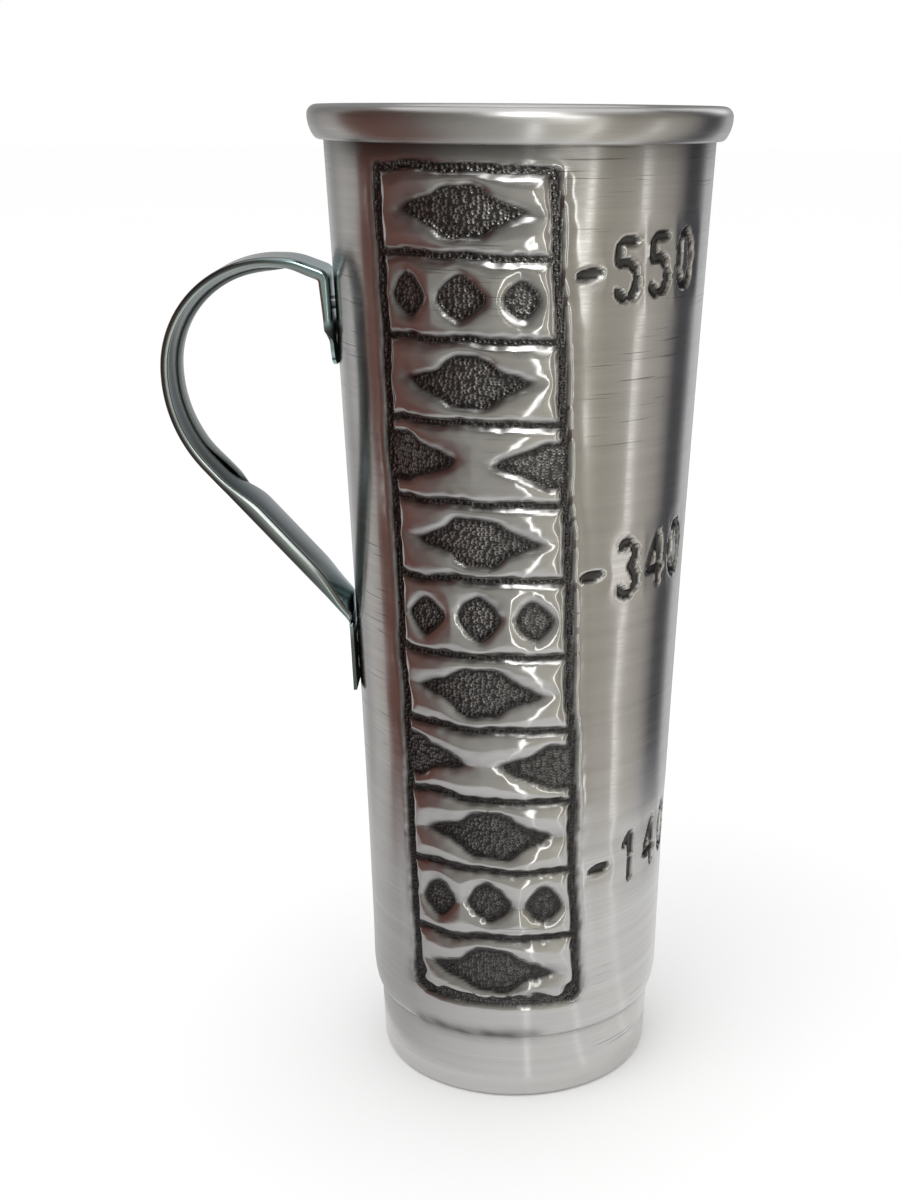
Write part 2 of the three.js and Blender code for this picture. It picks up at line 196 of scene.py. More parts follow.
# Painted shade under the rim, and a dark smear with a painted shade line in the crease over the foot:
# directions in degrees, heights in millimetres
RIM_SHADE = (187.0, 195.0)
RIM_SHADE_LEFT = (-66.0, -52.0)
RIM_SHADE_RIGHT = (14.0, 2.0)
RIM_SHADE_LEAST = 0.45
RIM_SHADE_MORE = 0.4
RIM_DULL = -0.9
RIM_DULL_DROP = 5.0
CREASE_LEFT = (-48.0, -38.0)
CREASE_RIGHT = (16.0, 2.0)
CREASE_RANGE = (10.0, STEP_TOP + 3)
CREASE_RISE = 0.9
CREASE_SPREAD = 1.5
CREASE_PATCHY = 0.25
CREASE_LINE = 0.3
CREASE_LINE_RISE = 0.2
CREASE_LINE_SPREAD = 0.5

# Painted shade in the gap between the wall and the handle's tabs: degrees to either side, then heights
TAB_SHADE_SIDE = (11.0, 8.5)
TAB_SHADE_EDGE = 1.0
UPPER_TAB_SHADE = (UPPER_TAB_END + 12, UPPER_TAB_END + 9)
LOWER_TAB_SHADE = (LOWER_BEND_HEIGHT + 2, LOWER_BEND_HEIGHT - 1)

# Level marks: height, start of the dash along the wall, start of the number, the number
MARKS = ((171.0, 10.4, 18.2, "550"), (114.0, 12.1, 20.6, "340"), (51.3, 15.4, 23.6, "140"))
DASH_LENGTH = 5.4
DASH_HALF = 1.15
DIGIT_HEIGHT = 11.0
DIGIT_WIDTH = 5.6
DIGIT_PITCH = 8.0
CUT_HALF = 0.95
CUT_DEPTH = 0.7
CUT_LIP = 0.08
CUT_NONE = -9.0
CUT_WALL = (-0.5, 0.9)
CUT_DARK = (0.03, 0.55)
CUT_CORE = (0.8, 1.0)
CUT_DARKEST = 0.97
CUT_CORE_LOSS = 0.08
CUT_LIP_PLACE = 0.95
CUT_LIP_SPREAD = 0.6
DASH_SLOPE = 0.12
DASH_LEAST = 0.05
DASH_DENT = (4.0, 2.6)
DIGIT_DENT = (4.4, 7.2)
DIGIT_DROP = 0.42
DIGIT_CLIMB = 0.5
DENT_DEPTH = 0.28

rng = np.random.default_rng(11)


def smoothstep(x, low, high):
    t = np.clip((x - low) / (high - low), 0.0, 1.0)
    return t * t * (3 - 2 * t)


def wall_radius(z):
    share = np.clip((z - STEP_TOP) / (RIM_CENTRE_HEIGHT - STEP_TOP), 0.0, 1.0)
    return BODY_RADIUS + WALL_FLARE * share ** WALL_BOW


def waves(count, shortest, longest):
    """Waves of a smooth random field on the unrolled wall: their turns across and up, and phases."""
    heading = rng.uniform(0, 2 * math.pi, count)
    length = rng.uniform(shortest, longest, count)
    phase = rng.uniform(0, 2 * math.pi, count)
    turn = 2 * math.pi / length
    return turn * np.cos(heading), turn * np.sin(heading), phase


def field(wave, a, z):
    """The sum of the waves, mostly between -1 and 1."""
    total = np.zeros_like(a)
    for ka, kz, phase in zip(*wave):
        total += np.sin(ka * a + kz * z + phase)
    return total / math.sqrt(len(wave[0]))


# Each with its number of waves and their shortest and longest length
SWAY_ACROSS = waves(6, 9, 26)
SWAY_UP = waves(6, 9, 26)
EDGE = waves(9, 2.4, 6)
DENTS = waves(8, 16, 42)
SMOKE = waves(10, 3, 14)
CELL_LEANS = rng.uniform(-CELL_LEAN, CELL_LEAN, CELLS)
CELL_SHIFTS = rng.uniform(-CELL_SHIFT, CELL_SHIFT, CELLS)


# Distances to flat shapes on the unrolled wall, negative inside


def box_distance(a, z, centre, half, corner):
    qa = np.abs(a - centre[0]) - (half[0] - corner)
    qz = np.abs(z - centre[1]) - (half[1] - corner)
    outside = np.hypot(np.maximum(qa, 0), np.maximum(qz, 0))
    return outside + np.minimum(np.maximum(qa, qz), 0) - corner


def lozenge_distance(a, z, centre, half):
    """A lozenge with rounded points."""
    slant = half[0] * half[1] / math.hypot(*half)
    across = np.abs(a - centre[0]) / half[0]
    up = np.abs(z - centre[1]) / half[1]
    return ((across ** LOZENGE_ROUND + up ** LOZENGE_ROUND) ** (1 / LOZENGE_ROUND) - 1) * slant


def joined(distances):
    """Shapes joined into one, with rounded inner corners."""
    weight = np.sum([np.exp(-d / JOIN_SOFTNESS) for d in distances], axis=0)
    return -JOIN_SOFTNESS * np.log(weight)


def scaled(half, size):
    return half[0] * size, half[1] * size


def lozenge_cell(a, z, size):
    """A long lozenge pocket with a rounded shoulder halfway along each side."""
    body = box_distance(a, z, (0, 0), scaled(LOZENGE_BODY, size), LOZENGE_BODY_CORNER)
    arms = lozenge_distance(a, z, (0, 0), scaled(LOZENGE_ARMS, size))
    return joined([body, arms])


def hourglass_cell(a, z, size):
    """Pockets that come in from both sides and end in rounded points."""
    side = np.abs(a)
    root = box_distance(side, z, (ROOT_PLACE, 0), (ROOT_HALF[0], ROOT_HALF[1] * size), ROOT_CORNER)
    point = lozenge_distance(side, z, (POINT_PLACE, 0), scaled(POINT_HALF, size))
    return joined([root, point])


def diamond_cell(a, z, size):
    """Three lozenge pockets in a row."""
    side = np.abs(a)
    middle = lozenge_distance(a, z, (0, 0), scaled(DIAMOND_MIDDLE, size))
    outer = lozenge_distance(side, z, (DIAMOND_PLACE, 0), scaled(DIAMOND_OUTER, size))
    return np.minimum(middle, outer)


CELL_KINDS = (lozenge_cell, hourglass_cell, lozenge_cell, diamond_cell)


def panel_distances(a, z):
    """Distance to the panel's outer edge, and to its nearest sunk line or pocket."""
    a = a + SWAY_WIDE * field(SWAY_ACROSS, a, z) + EDGE_SWAY * field(EDGE, a, z)
    z = z + SWAY_TALL * field(SWAY_UP, a, z) + EDGE_SWAY * field(EDGE, z, a)
    middle = (PANEL_TOP + PANEL_BOTTOM) / 2
    half = (PANEL_TOP - PANEL_BOTTOM) / 2
    corner = np.where(z < middle, PANEL_CORNER_LOW, PANEL_CORNER_HIGH)
    edge = box_distance(a, z, (0, middle), (PANEL_HALF, half), corner)
    ragged = RAGGED_MORE + RAGGED_SWING * np.clip(field(SMOKE, a, z), -1, 1)
    thick = FRAME_HALF * (1 + ragged * smoothstep(z, RAGGED_HIGH, RAGGED_LOW))
    sunk = np.abs(edge + thick) - thick
    pitch = (PANEL_TOP - PANEL_BOTTOM - 2 * FRAME_HALF) / CELLS
    for k in range(CELLS):
        low = PANEL_BOTTOM + FRAME_HALF + pitch * k
        lean = CELL_LEANS[k] * a
        if k > 0:
            line = np.abs(z - low - lean) - DIVIDER_HALF
            sunk = np.minimum(sunk, np.maximum(line, edge))
        size = CELL_SIZE - CELL_SHRINK * k / CELLS
        cell = CELL_KINDS[(k + 2) % len(CELL_KINDS)]
        pocket = cell(a - CELL_SHIFTS[k], z - low - pitch / 2 - lean, size)
        sunk = np.minimum(sunk, np.maximum(pocket, edge))
    return edge, sunk


def scatter(i, j, seed):
    """A repeatable value from 0 to 1 for a place in the grid of punch marks."""
    value = np.sin(i * 12.9898 + j * 78.233 + seed * 37.719) * 43758.5453
    return value - np.floor(value)


def punch_marks(a, z):
    """1 at the middle of a punch mark, 0 on the ridges between the marks."""
    best = np.full_like(a, PUNCH_PITCH)
    row = np.floor(z / PUNCH_PITCH)
    for dr in (-1, 0, 1):
        r = row + dr
        shift = 0.5 * np.mod(r, 2)
        column = np.floor(a / PUNCH_PITCH - shift)
        for dc in (-1, 0, 1):
            c = column + dc
            pa = (c + 0.5 + shift + PUNCH_JITTER * (scatter(c, r, 1) - 0.5)) * PUNCH_PITCH
            pz = (r + 0.5 + PUNCH_JITTER * (scatter(c, r, 2) - 0.5)) * PUNCH_PITCH
            best = np.minimum(best, np.hypot(a - pa, z - pz))
    return np.clip(1 - (best / PUNCH_RADIUS) ** 2, 0, 1)


def bowl(centre, half, *spans):
    """Pieces of one oval, each from a start to an end in degrees, with its number of points."""
    return [
        [(centre[0] + half[0] * math.cos(t), centre[1] + half[1] * math.sin(t))
         for t in np.radians(np.linspace(*span))]
        for span in spans
    ]


# Chisel cuts of the digits, in a box one wide and one high
DIGIT_CUTS = {
    "0": bowl((0.5, 0.5), (0.42, 0.46), *((start, start + 64, 4) for start in range(62, 422, 72))),
    "1": [[(0.24, 0.74), (0.56, 0.98)], [(0.58, 0.98), (0.58, 0.5)], [(0.58, 0.46), (0.58, 0.02)]],
    "3": [
        *bowl((0.46, 0.74), (0.36, 0.24), (150, 62, 4), (46, -76, 5)),
        *bowl((0.46, 0.26), (0.42, 0.25), (76, -48, 5), (-62, -156, 4)),
    ],
    "4": [
        [(0.7, 0.98), (0.1, 0.36)],
        [(0.06, 0.3), (0.96, 0.3)],
        [(0.72, 0.92), (0.72, 0.38)],
        [(0.72, 0.24), (0.72, 0.02)],
    ],
    "5": [
        [(0.88, 0.96), (0.24, 0.96)],
        [(0.18, 0.92), (0.14, 0.58)],
        *bowl((0.46, 0.32), (0.42, 0.3), (128, 28, 5), (14, -78, 5), (-92, -152, 4)),
    ],
}


def cut_depth(a, z, line):
    """A chisel cut along a line, tapering at both ends: 1 at its middle, 0 at its edge, less outside it."""
    line = np.array(line)
    steps = np.hypot(*(line[1:] - line[:-1]).T)
    run = np.concatenate(([0], np.cumsum(steps)))
    depth = np.full_like(a, CUT_NONE)
    for k, length in enumerate(steps):
        along = (line[k + 1] - line[k]) / length
        ra, rz = a - line[k][0], z - line[k][1]
        t = np.clip(ra * along[0] + rz * along[1], 0, length)
        off = np.hypot(ra - t * along[0], rz - t * along[1])
        share = (run[k] + t) / run[-1]
        half = CUT_HALF * (0.5 + 0.5 * np.sqrt(np.clip(1 - (2 * share - 1) ** 4, 0, 1)))
        depth = np.maximum(depth, 1 - (off / half) ** 2)
    return depth


def mark_relief(arc, z):
    """Depth of the level dashes and numbers, the lip raised beside them, and the soft dent round them."""
    depth = np.zeros_like(arc)
    lip = np.zeros_like(arc)
    dent = np.zeros_like(arc)
    for height, dash, start, number in MARKS:
        near = np.abs(z - height) < DIGIT_HEIGHT
        a, h = arc[near], z[near]
        t = (a - dash) / DASH_LENGTH * 2 - 1
        lens = DASH_HALF * np.sqrt(np.clip(1 - t * t, 0, 1))
        slope = DASH_SLOPE * (a - dash)
        cut = 1 - (np.abs(h - height - slope) / np.maximum(lens, DASH_LEAST)) ** 2
        cut = np.where(lens > 0, cut, CUT_NONE)
        across, up = (a - dash - DASH_LENGTH / 2) / DASH_DENT[0], (h - height) / DASH_DENT[1]
        soft = np.exp(-(across ** 2) - up ** 2)
        for k, digit in enumerate(number):
            left = start + k * DIGIT_PITCH
            base = height - DIGIT_HEIGHT * DIGIT_DROP + DIGIT_CLIMB * k
            for line in DIGIT_CUTS[digit]:
                placed = [(left + x * DIGIT_WIDTH, base + y * DIGIT_HEIGHT) for x, y in line]
                cut = np.maximum(cut, cut_depth(a, h, placed))
            across = (a - left - DIGIT_WIDTH / 2) / DIGIT_DENT[0]
            up = (h - base - DIGIT_HEIGHT / 2) / DIGIT_DENT[1]
            soft = np.maximum(soft, np.exp(-(across ** 4) - up ** 4))
        depth[near] = smoothstep(cut, *CUT_WALL)
        lip[near] = np.exp(-(((cut + CUT_LIP_PLACE) / CUT_LIP_SPREAD) ** 2))
        dent[near] = soft
    return depth, lip, dent


def wall_relief(angle, z):
    """Height of the outside of the wall above its plain radius, and how dark, punched and burnished it is."""
    radius = wall_radius(z)
    share = np.clip((z - PANEL_BOTTOM) / (PANEL_TOP - PANEL_BOTTOM), 0, 1)
    lean = PANEL_ANGLE_BOTTOM + (PANEL_ANGLE_TOP - PANEL_ANGLE_BOTTOM) * share
    a = (angle - lean) * radius
    edge, sunk = panel_distances(a, z)
    inside = smoothstep(edge, *PANEL_EDGE)
    raised = smoothstep(sunk, *POCKET_WALL)
    bulge = PILLOW_RISE * (1 - np.exp(-np.maximum(sunk, 0) / PILLOW_WIDTH))
    lip_rise = LIP_RISE * (LIP_LEFT + (1 - LIP_LEFT) * smoothstep(a, -LIP_TURN, LIP_TURN))
    lip_rise = lip_rise * (1 - LIP_TOP_LOSS * smoothstep(z, PANEL_TOP - LIP_TOP_RUN, PANEL_TOP))
    lip_rise = lip_rise * (1 + LIP_SWAY * field(SWAY_UP, a, z))
    lip = lip_rise * np.exp(-((np.maximum(edge, 0) / LIP_WIDTH) ** 2))
    height = -POCKET_DEPTH * (1 - raised) + raised * (inside * bulge + (1 - inside) * lip)
    hollow = 1 - smoothstep(sunk, *POCKET_DARK)
    height -= PUNCH_DEPTH * hollow * punch_marks(a, z)
    height += DENT_SWAY * np.exp(-np.maximum(edge, 0) / DENT_REACH) * field(DENTS, a, z)
    cut, cut_lip, dent = mark_relief(angle * radius, z)
    height += CUT_LIP * cut_lip - CUT_DEPTH * cut - DENT_DEPTH * dent
    under_rim = RIM_CENTRE_HEIGHT - RELIEF_RIM_GAP
    fade = smoothstep(z, STEP_TOP, STEP_TOP + RELIEF_FOOT_RUN)
    fade = fade * smoothstep(z, under_rim, under_rim - RELIEF_RIM_RUN)
    smoke = 0.5 + 0.5 * np.clip(field(SMOKE, a, z), -1, 1)
    smudged = smoothstep(z, SMUDGE_HIGH, RAGGED_LOW)
    halo = np.exp(-np.maximum(sunk, 0) / (HALO_REACH * (1 + smudged)))
    halo = halo * (HALO_LEAST + HALO_SMOKE * smoke) * (1 + HALO_SMUDGE * smudged)
    dark = np.maximum(hollow, halo * (1 - hollow))
    cut_dark = CUT_DARKEST * smoothstep(cut, *CUT_DARK) - CUT_CORE_LOSS * smoothstep(cut, *CUT_CORE)
    dark = np.maximum(dark, cut_dark)
    beads = BEADS_LEAST + BEADS_MORE * smoothstep(z, *BEADS_RANGE)
    stipple = np.maximum(smoothstep(sunk, *POCKET_MARKS), beads * smoothstep(sunk, *LINE_MARKS))
    stipple = stipple * (MARKS_LEAST + (1 - MARKS_LEAST) * smoothstep(z, *MARKS_RANGE))
    burnish = smoothstep(edge, *BURNISH_EDGE)
    return height * fade, dark * fade, stipple * fade, burnish


def crease_smear_and_shade(angle, z):
    """A patchy dark smear in the crease over the foot, under the panel, and a thin painted shade line along
    the whole crease.
    """
    degrees = np.degrees(angle)
    side = smoothstep(degrees, *CREASE_LEFT) * smoothstep(degrees, *CREASE_RIGHT)
    near = np.exp(-(((z - FOOT_HEIGHT - CREASE_RISE) / CREASE_SPREAD) ** 2))
    patchy = 1 - CREASE_PATCHY + CREASE_PATCHY * np.clip(field(SMOKE, angle * FOOT_RADIUS, z), -1, 1)
    line = CREASE_LINE * np.exp(-(((z - FOOT_HEIGHT - CREASE_LINE_RISE) / CREASE_LINE_SPREAD) ** 2))
    return np.maximum(side * near * patchy, line)


def rim_painted_shade(angle, z):
    """Painted shade under the rim, heavier above the panel."""
    degrees = np.degrees(angle)
    heavy = smoothstep(degrees, *RIM_SHADE_LEFT) * smoothstep(degrees, *RIM_SHADE_RIGHT)
    return (RIM_SHADE_LEAST + RIM_SHADE_MORE * heavy) * smoothstep(z, *RIM_SHADE)


def tab_gap_shade(angle, z):
    """Painted shade in the gap between the wall and the handle's tabs."""
    side = smoothstep(np.abs(np.degrees(angle) + 90), *TAB_SHADE_SIDE)
    upper, lower = (
        smoothstep(z, end - TAB_SHADE_EDGE, end + TAB_SHADE_EDGE) * smoothstep(z, *top)
        for end, top in ((UPPER_TAB_END, UPPER_TAB_SHADE), (LOWER_TAB_END, LOWER_TAB_SHADE))
    )
    return side * np.maximum(upper, lower)


# Meshes and objects


def new_mesh(name, points, faces):
    mesh = bpy.data.meshes.new(name)
    mesh.from_pydata(points, [], faces)
    return mesh


def add_object(name, data):
    obj = bpy.data.objects.new(name, data)
    bpy.context.scene.collection.objects.link(obj)
    return obj


def add_values(mesh, **values):
    """Numbers at the mesh's points, which its material reads by name."""
    for name, numbers in values.items():
        mesh.attributes.new(name, "FLOAT", "POINT").data.foreach_set("value", numbers)


def corner_points(mesh):
    """The point at each corner of each face."""
    corner = np.zeros(len(mesh.loops), np.int64)
    mesh.loops.foreach_get("vertex_index", corner)
    return corner


def grid_faces(rows, count, first=0, closed=True):
    """Four-sided faces between rows of points, each row closed into a ring or left open."""
    faces = []
    for base in range(first, first + (rows - 1) * count, count):
        for k in range(count if closed else count - 1):
            after = (k + 1) % count
            faces.append([base + k, base + after, base + count + after, base + count + k])
    return faces


# Cup mesh: rings of points, finer where the wall carries relief
COARSE_STEP = 4.0
FINE_STEP = 0.8
INNER_STEP = 2.0
PANEL_RANGE = (-52.0, 36.0)
MARK_RANGE = (-52.0, 84.0)
ROW_STEP = 0.45
INNER_ROWS = 80
ROLL_STEPS = 16
TAPER_STEPS = 6
TUCK_STEPS = 5
CORNER_STEPS = 6
FOOT_STEPS = 12
STEP_STEPS = 14
INNER_STEP_STEPS = 8
INNER_CORNER_STEPS = 4
INNER_RANGE = (24.0, 194.0)
INNER_RELIEF = 0.6
CENTRE_RADIUS = 12.0
CAP_CORNERS = 40
WRAP_RADIUS = 34.0
SAME = 0.01
TINY = 1e-6
PLAIN, PANEL, MARKED, INNER = range(4)


def ring_angles(kind):
    step, low, high = {
        PLAIN: (COARSE_STEP, 0, 0),
        PANEL: (FINE_STEP, *PANEL_RANGE),
        MARKED: (FINE_STEP, *MARK_RANGE),
        INNER: (INNER_STEP, *PANEL_RANGE),
    }[kind]
    degrees = []
    for c in np.arange(-180.0, 180.0, COARSE_STEP):
        parts = round(COARSE_STEP / step) if low <= c < high else 1
        degrees += [c + COARSE_STEP * k / parts for k in range(parts)]
    return np.radians(degrees)


def arc_points(centre, radius, start, end, count):
    angle = np.linspace(start, end, count + 1)[1:]
    return [(centre[0] + radius * math.cos(t), centre[1] + radius * math.sin(t)) for t in angle]


def step_points(radius, height, width, rise, count):
    angle = np.linspace(0, math.pi / 2, count + 1)[1:]
    return [(radius + width * math.sin(t), height + rise * (1 - math.cos(t))) for t in angle]


def rim_points(offset):
    middle = RIM_RADIUS - SHEET / 2
    centre = (wall_radius(RIM_CENTRE_HEIGHT) - SHEET + RIM_RADIUS, RIM_CENTRE_HEIGHT)
    taper_centre = (centre[0] + middle - RIM_TAPER_RADIUS, centre[1])
    reach = RIM_TAPER_RADIUS - RIM_TUCK_RADIUS
    tuck_centre = (
        taper_centre[0] + reach * math.cos(RIM_TAPER_ANGLE),
        taper_centre[1] - reach * math.sin(RIM_TAPER_ANGLE),
    )
    points = arc_points(centre, middle + offset, math.pi, 0, ROLL_STEPS)
    points += arc_points(taper_centre, RIM_TAPER_RADIUS + offset, 0, -RIM_TAPER_ANGLE, TAPER_STEPS)
    tuck_end = -RIM_TAPER_ANGLE - RIM_TUCK_ANGLE
    tuck = arc_points(tuck_centre, RIM_TUCK_RADIUS + offset, -RIM_TAPER_ANGLE, tuck_end, TUCK_STEPS)
    return points + [(max(r, wall_radius(z) + RIM_GAP), z) for r, z in tuck]


def line_points(start, end, count):
    return [
        (start[0] + (end[0] - start[0]) * k / count, start[1] + (end[1] - start[1]) * k / count)
        for k in range(1, count + 1)
    ]


def plain(points):
    return [(r, z, PLAIN) for r, z in points]


def cup_rings():
    """The cup's profile from the middle of its underside to the middle of its inside, with ring kinds."""
    foot_inner = BASE_RADIUS - SHEET
    inner_corner = SHEET / 2
    rings = plain([(CENTRE_RADIUS, 0.0), (BASE_RADIUS - BASE_CORNER, 0.0)])
    corner = arc_points((BASE_RADIUS - BASE_CORNER, BASE_CORNER), BASE_CORNER, -math.pi / 2, 0, CORNER_STEPS)
    rings += plain(corner)
    foot = line_points((BASE_RADIUS, BASE_CORNER), (FOOT_RADIUS, FOOT_HEIGHT), FOOT_STEPS)
    foot += step_points(FOOT_RADIUS, FOOT_HEIGHT, STEP_WIDTH, STEP_RISE, STEP_STEPS)
    rings += [(r, z, PANEL if z > CREASE_RANGE[0] else PLAIN) for r, z in foot]
    rows = round((RIM_CENTRE_HEIGHT - STEP_TOP) / ROW_STEP)
    for z in np.linspace(STEP_TOP, RIM_CENTRE_HEIGHT, rows + 1)[1:]:
        marked = any(abs(z - height) < DIGIT_HEIGHT for height, *_ in MARKS)
        kind = MARKED if marked else PANEL
        rings.append((wall_radius(z), z, kind))
    rings += plain(rim_points(-SHEET / 2) + rim_points(SHEET / 2)[::-1])
    for z in np.linspace(RIM_CENTRE_HEIGHT, STEP_TOP, INNER_ROWS):
        kind = INNER if INNER_RANGE[0] < z < INNER_RANGE[1] else PLAIN
        rings.append((wall_radius(z) - SHEET, z, kind))
    below = (FOOT_RADIUS - SHEET, FOOT_HEIGHT + SHEET)
    step = step_points(*below, STEP_WIDTH, STEP_RISE - SHEET, INNER_STEP_STEPS)
    rings += plain(step[-2::-1] + [below])
    corner = [(foot_inner - inner_corner, SHEET)]
    centre = (foot_inner - inner_corner, SHEET + inner_corner)
    corner += arc_points(centre, inner_corner, -math.pi / 2, 0, INNER_CORNER_STEPS)
    rings += plain(corner[::-1])
    return rings + [(CENTRE_RADIUS, SHEET, PLAIN)]


def build_cup():
    rings = cup_rings()
    top = max(range(len(rings)), key=lambda i: rings[i][1])
    first, points, angles, dark, stipple, burnish, inside = [], [], [], [], [], [], []
    count = 0
    for i, (radius, z, kind) in enumerate(rings):
        angle = ring_angles(kind)
        heights = np.full_like(angle, z)
        on_wall = STEP_TOP < z < RIM_CENTRE_HEIGHT
        outside = abs(radius - wall_radius(z)) < SAME
        shade, floor, polish = np.zeros((3, len(angle)))
        radii = np.full_like(angle, radius)
        if on_wall and kind != PLAIN:
            relief, outer_shade, outer_floor, outer_polish = wall_relief(angle, heights)
            if i < top:
                radii, shade, floor, polish = radii + relief, outer_shade, outer_floor, outer_polish
            else:
                radii = radii + INNER_RELIEF * relief
        # Dark smear and painted shade line in the crease over the foot
        if i < top and CREASE_RANGE[0] < z <= CREASE_RANGE[1]:
            shade = np.maximum(shade, crease_smear_and_shade(angle, heights))
        # Painted shade on the wall behind the handle's tabs
        if on_wall and i < top:
            shade = np.maximum(shade, tab_gap_shade(angle, heights))
        # Painted shade in a band under the rim
        if on_wall and outside:
            shade = np.maximum(shade, rim_painted_shade(angle, heights))
        if z > RIM_CENTRE_HEIGHT - RIM_DULL_DROP and not outside:
            polish = np.full_like(angle, RIM_DULL)
        first.append(count)
        count += len(angle)
        angles.append(angle)
        dark.append(shade)
        stipple.append(floor)
        burnish.append(polish)
        inside.append(np.full_like(angle, i > top and radius < wall_radius(z) - 0.5 * SHEET))
        points.append(np.stack([radii * np.sin(angle), -radii * np.cos(angle), heights], axis=1))
    faces = [list(range(len(angles[0])))[::-1]]
    for i in range(len(rings) - 1):
        faces += band_faces(first[i], angles[i], first[i + 1], angles[i + 1])
    faces.append([first[-1] + k for k in range(len(angles[-1]))])
    mesh = new_mesh("cup", np.concatenate(points) * MM, faces)
    dark, stipple, burnish, inside = map(np.concatenate, (dark, stipple, burnish, inside))
    add_values(mesh, patina=dark, stipple=stipple, burnish=burnish, inside=inside)
    add_wrap(mesh, np.concatenate(angles))
    return mesh


def band_faces(low, low_angles, high, high_angles):
    """Faces between two rings. Where one ring is finer, its extra points join the other's faces."""
    n, m = len(low_angles), len(high_angles)
    if n == m:
        return grid_faces(2, n, first=low)
    coarse = low_angles if n < m else high_angles
    at_low = np.searchsorted(low_angles, coarse - TINY)
    at_high = np.searchsorted(high_angles, coarse - TINY)
    faces = []
    for k in range(len(coarse)):
        low_end = at_low[k + 1] if k + 1 < len(coarse) else n
        high_end = at_high[k + 1] if k + 1 < len(coarse) else m
        under = [low + j % n for j in range(at_low[k], low_end + 1)]
        over = [high + j % m for j in range(at_high[k], high_end + 1)]
        faces.append(under + over[::-1])
    return faces


def add_wrap(mesh, angles):
    """A map of the wall unrolled, in millimetres, that runs on across the back."""
    corner = corner_points(mesh)
    totals = np.zeros(len(mesh.polygons), np.int64)
    mesh.polygons.foreach_get("loop_total", totals)
    starts = np.zeros(len(mesh.polygons), np.int64)
    mesh.polygons.foreach_get("loop_start", starts)
    turn = angles[corner]
    widest = np.maximum.reduceat(turn, starts) - np.minimum.reduceat(turn, starts)
    crossing = np.repeat((widest > math.pi) & (totals < CAP_CORNERS), totals)
    turn = np.where(crossing & (turn < 0), turn + 2 * math.pi, turn)
    height = np.array([v.co.z for v in mesh.vertices])[corner] / MM
    layer = mesh.uv_layers.new(name="wrap")
    layer.data.foreach_set("uv", np.stack([turn * WRAP_RADIUS, height], axis=1).astype(np.float32).ravel())


# Handle


def handle_corners():
    lower = wall_radius(LOWER_BEND_HEIGHT) + TAB_GAP + STRAP_SHEET
    upper = wall_radius(UPPER_BEND_HEIGHT) + TAB_GAP
    diagonal_top = LOWER_BEND_HEIGHT + (HANDLE_REACH - lower) * math.tan(DIAGONAL)
    side = HANDLE_TOP - diagonal_top
    upper_arc = min(HANDLE_REACH - upper - TOP_RUN - TOP_FLAT, side * UPPER_ARC_SHARE)
    lower_arc = (side - upper_arc) * LOWER_ARC_SHARE / math.tan((math.pi / 2 - DIAGONAL) / 2)
    return [
        (wall_radius(UPPER_TAB_END) + TAB_GAP, UPPER_TAB_END, 0),
        (upper, UPPER_BEND_HEIGHT, UPPER_BEND),
        (upper + TOP_RUN, HANDLE_TOP, TOP_BEND),
        (HANDLE_REACH, HANDLE_TOP, upper_arc),
        (HANDLE_REACH, diagonal_top, lower_arc),
        (lower, LOWER_BEND_HEIGHT, LOWER_BEND),
        (wall_radius(LOWER_TAB_END) + TAB_GAP + STRAP_SHEET, LOWER_TAB_END, 0),
    ]


STATION_STEP = 0.8
SAME_STATION = 1e-4
BEND_STEPS = 6


def unit(v):
    return v / np.hypot(*v)


def left_of(v):
    return np.array([-v[1], v[0]])


def handle_stations(corners):
    """Points of the strap's outer face with the outward direction and the length run, and each bend's end."""
    stations, ends = [], []

    def add(point, along):
        run = 0.0
        if stations:
            run = stations[-1][2] + np.hypot(*(point - stations[-1][0]))
            if run - stations[-1][2] < SAME_STATION:
                return
        stations.append((point, left_of(along), run))

    place = [np.array(c[:2], float) for c in corners]
    start = place[0]
    for i in range(1, len(corners)):
        into = unit(place[i] - place[i - 1])
        onward = unit(place[i + 1] - place[i]) if i + 1 < len(corners) else into
        turn = math.atan2(into[0] * onward[1] - into[1] * onward[0], float(into @ onward))
        bend = corners[i][2]
        bend_start = place[i] - into * bend * math.tan(abs(turn) / 2)
        straight = np.hypot(*(bend_start - start))
        count = max(2, round(straight / STATION_STEP))
        for k in range(count + 1):
            add(start + into * straight * k / count, into)
        side = math.copysign(1, turn)
        centre = bend_start + left_of(into) * side * bend
        steps = 0 if bend == 0 else max(BEND_STEPS, round(abs(turn) * bend / STATION_STEP))
        for k in range(1, steps + 1):
            part = turn * k / steps
            along = np.array([
                into[0] * math.cos(part) - into[1] * math.sin(part),
                into[0] * math.sin(part) + into[1] * math.cos(part),
            ])
            add(centre - left_of(along) * side * bend, along)
        ends.append(stations[-1][2])
        start = stations[-1][0]
    return stations, ends


EDGE_STEPS = 6
FLANGE_STEPS = 12
TIP_EDGE = 0.25
EDGE_ROUND = 0.85
BEVEL_ROUND = 0.2
BEVEL_ROUND_SHARE = 0.4
FLANGE_ROUND = 0.3
FLANGE_ROUND_SHARE = 0.6
FOLD_HEEL = 0.15
FOLD_FLAT = STRAP_SHEET + 0.05
FACING_LEAST = 0.1
# Painted shade in the folds and on the tabs, and painted light near the upper bend and the foot
FOOT_TAB_SHADE = (3.0, 6.0)
FOLD_SHADE_LEAST = 0.5
UPPER_TAB_SHADE_RUN = 2.0
PAINTED_LIGHT_RUN = 14.0
PAINTED_LIGHT_AT_FOOT = 0.75


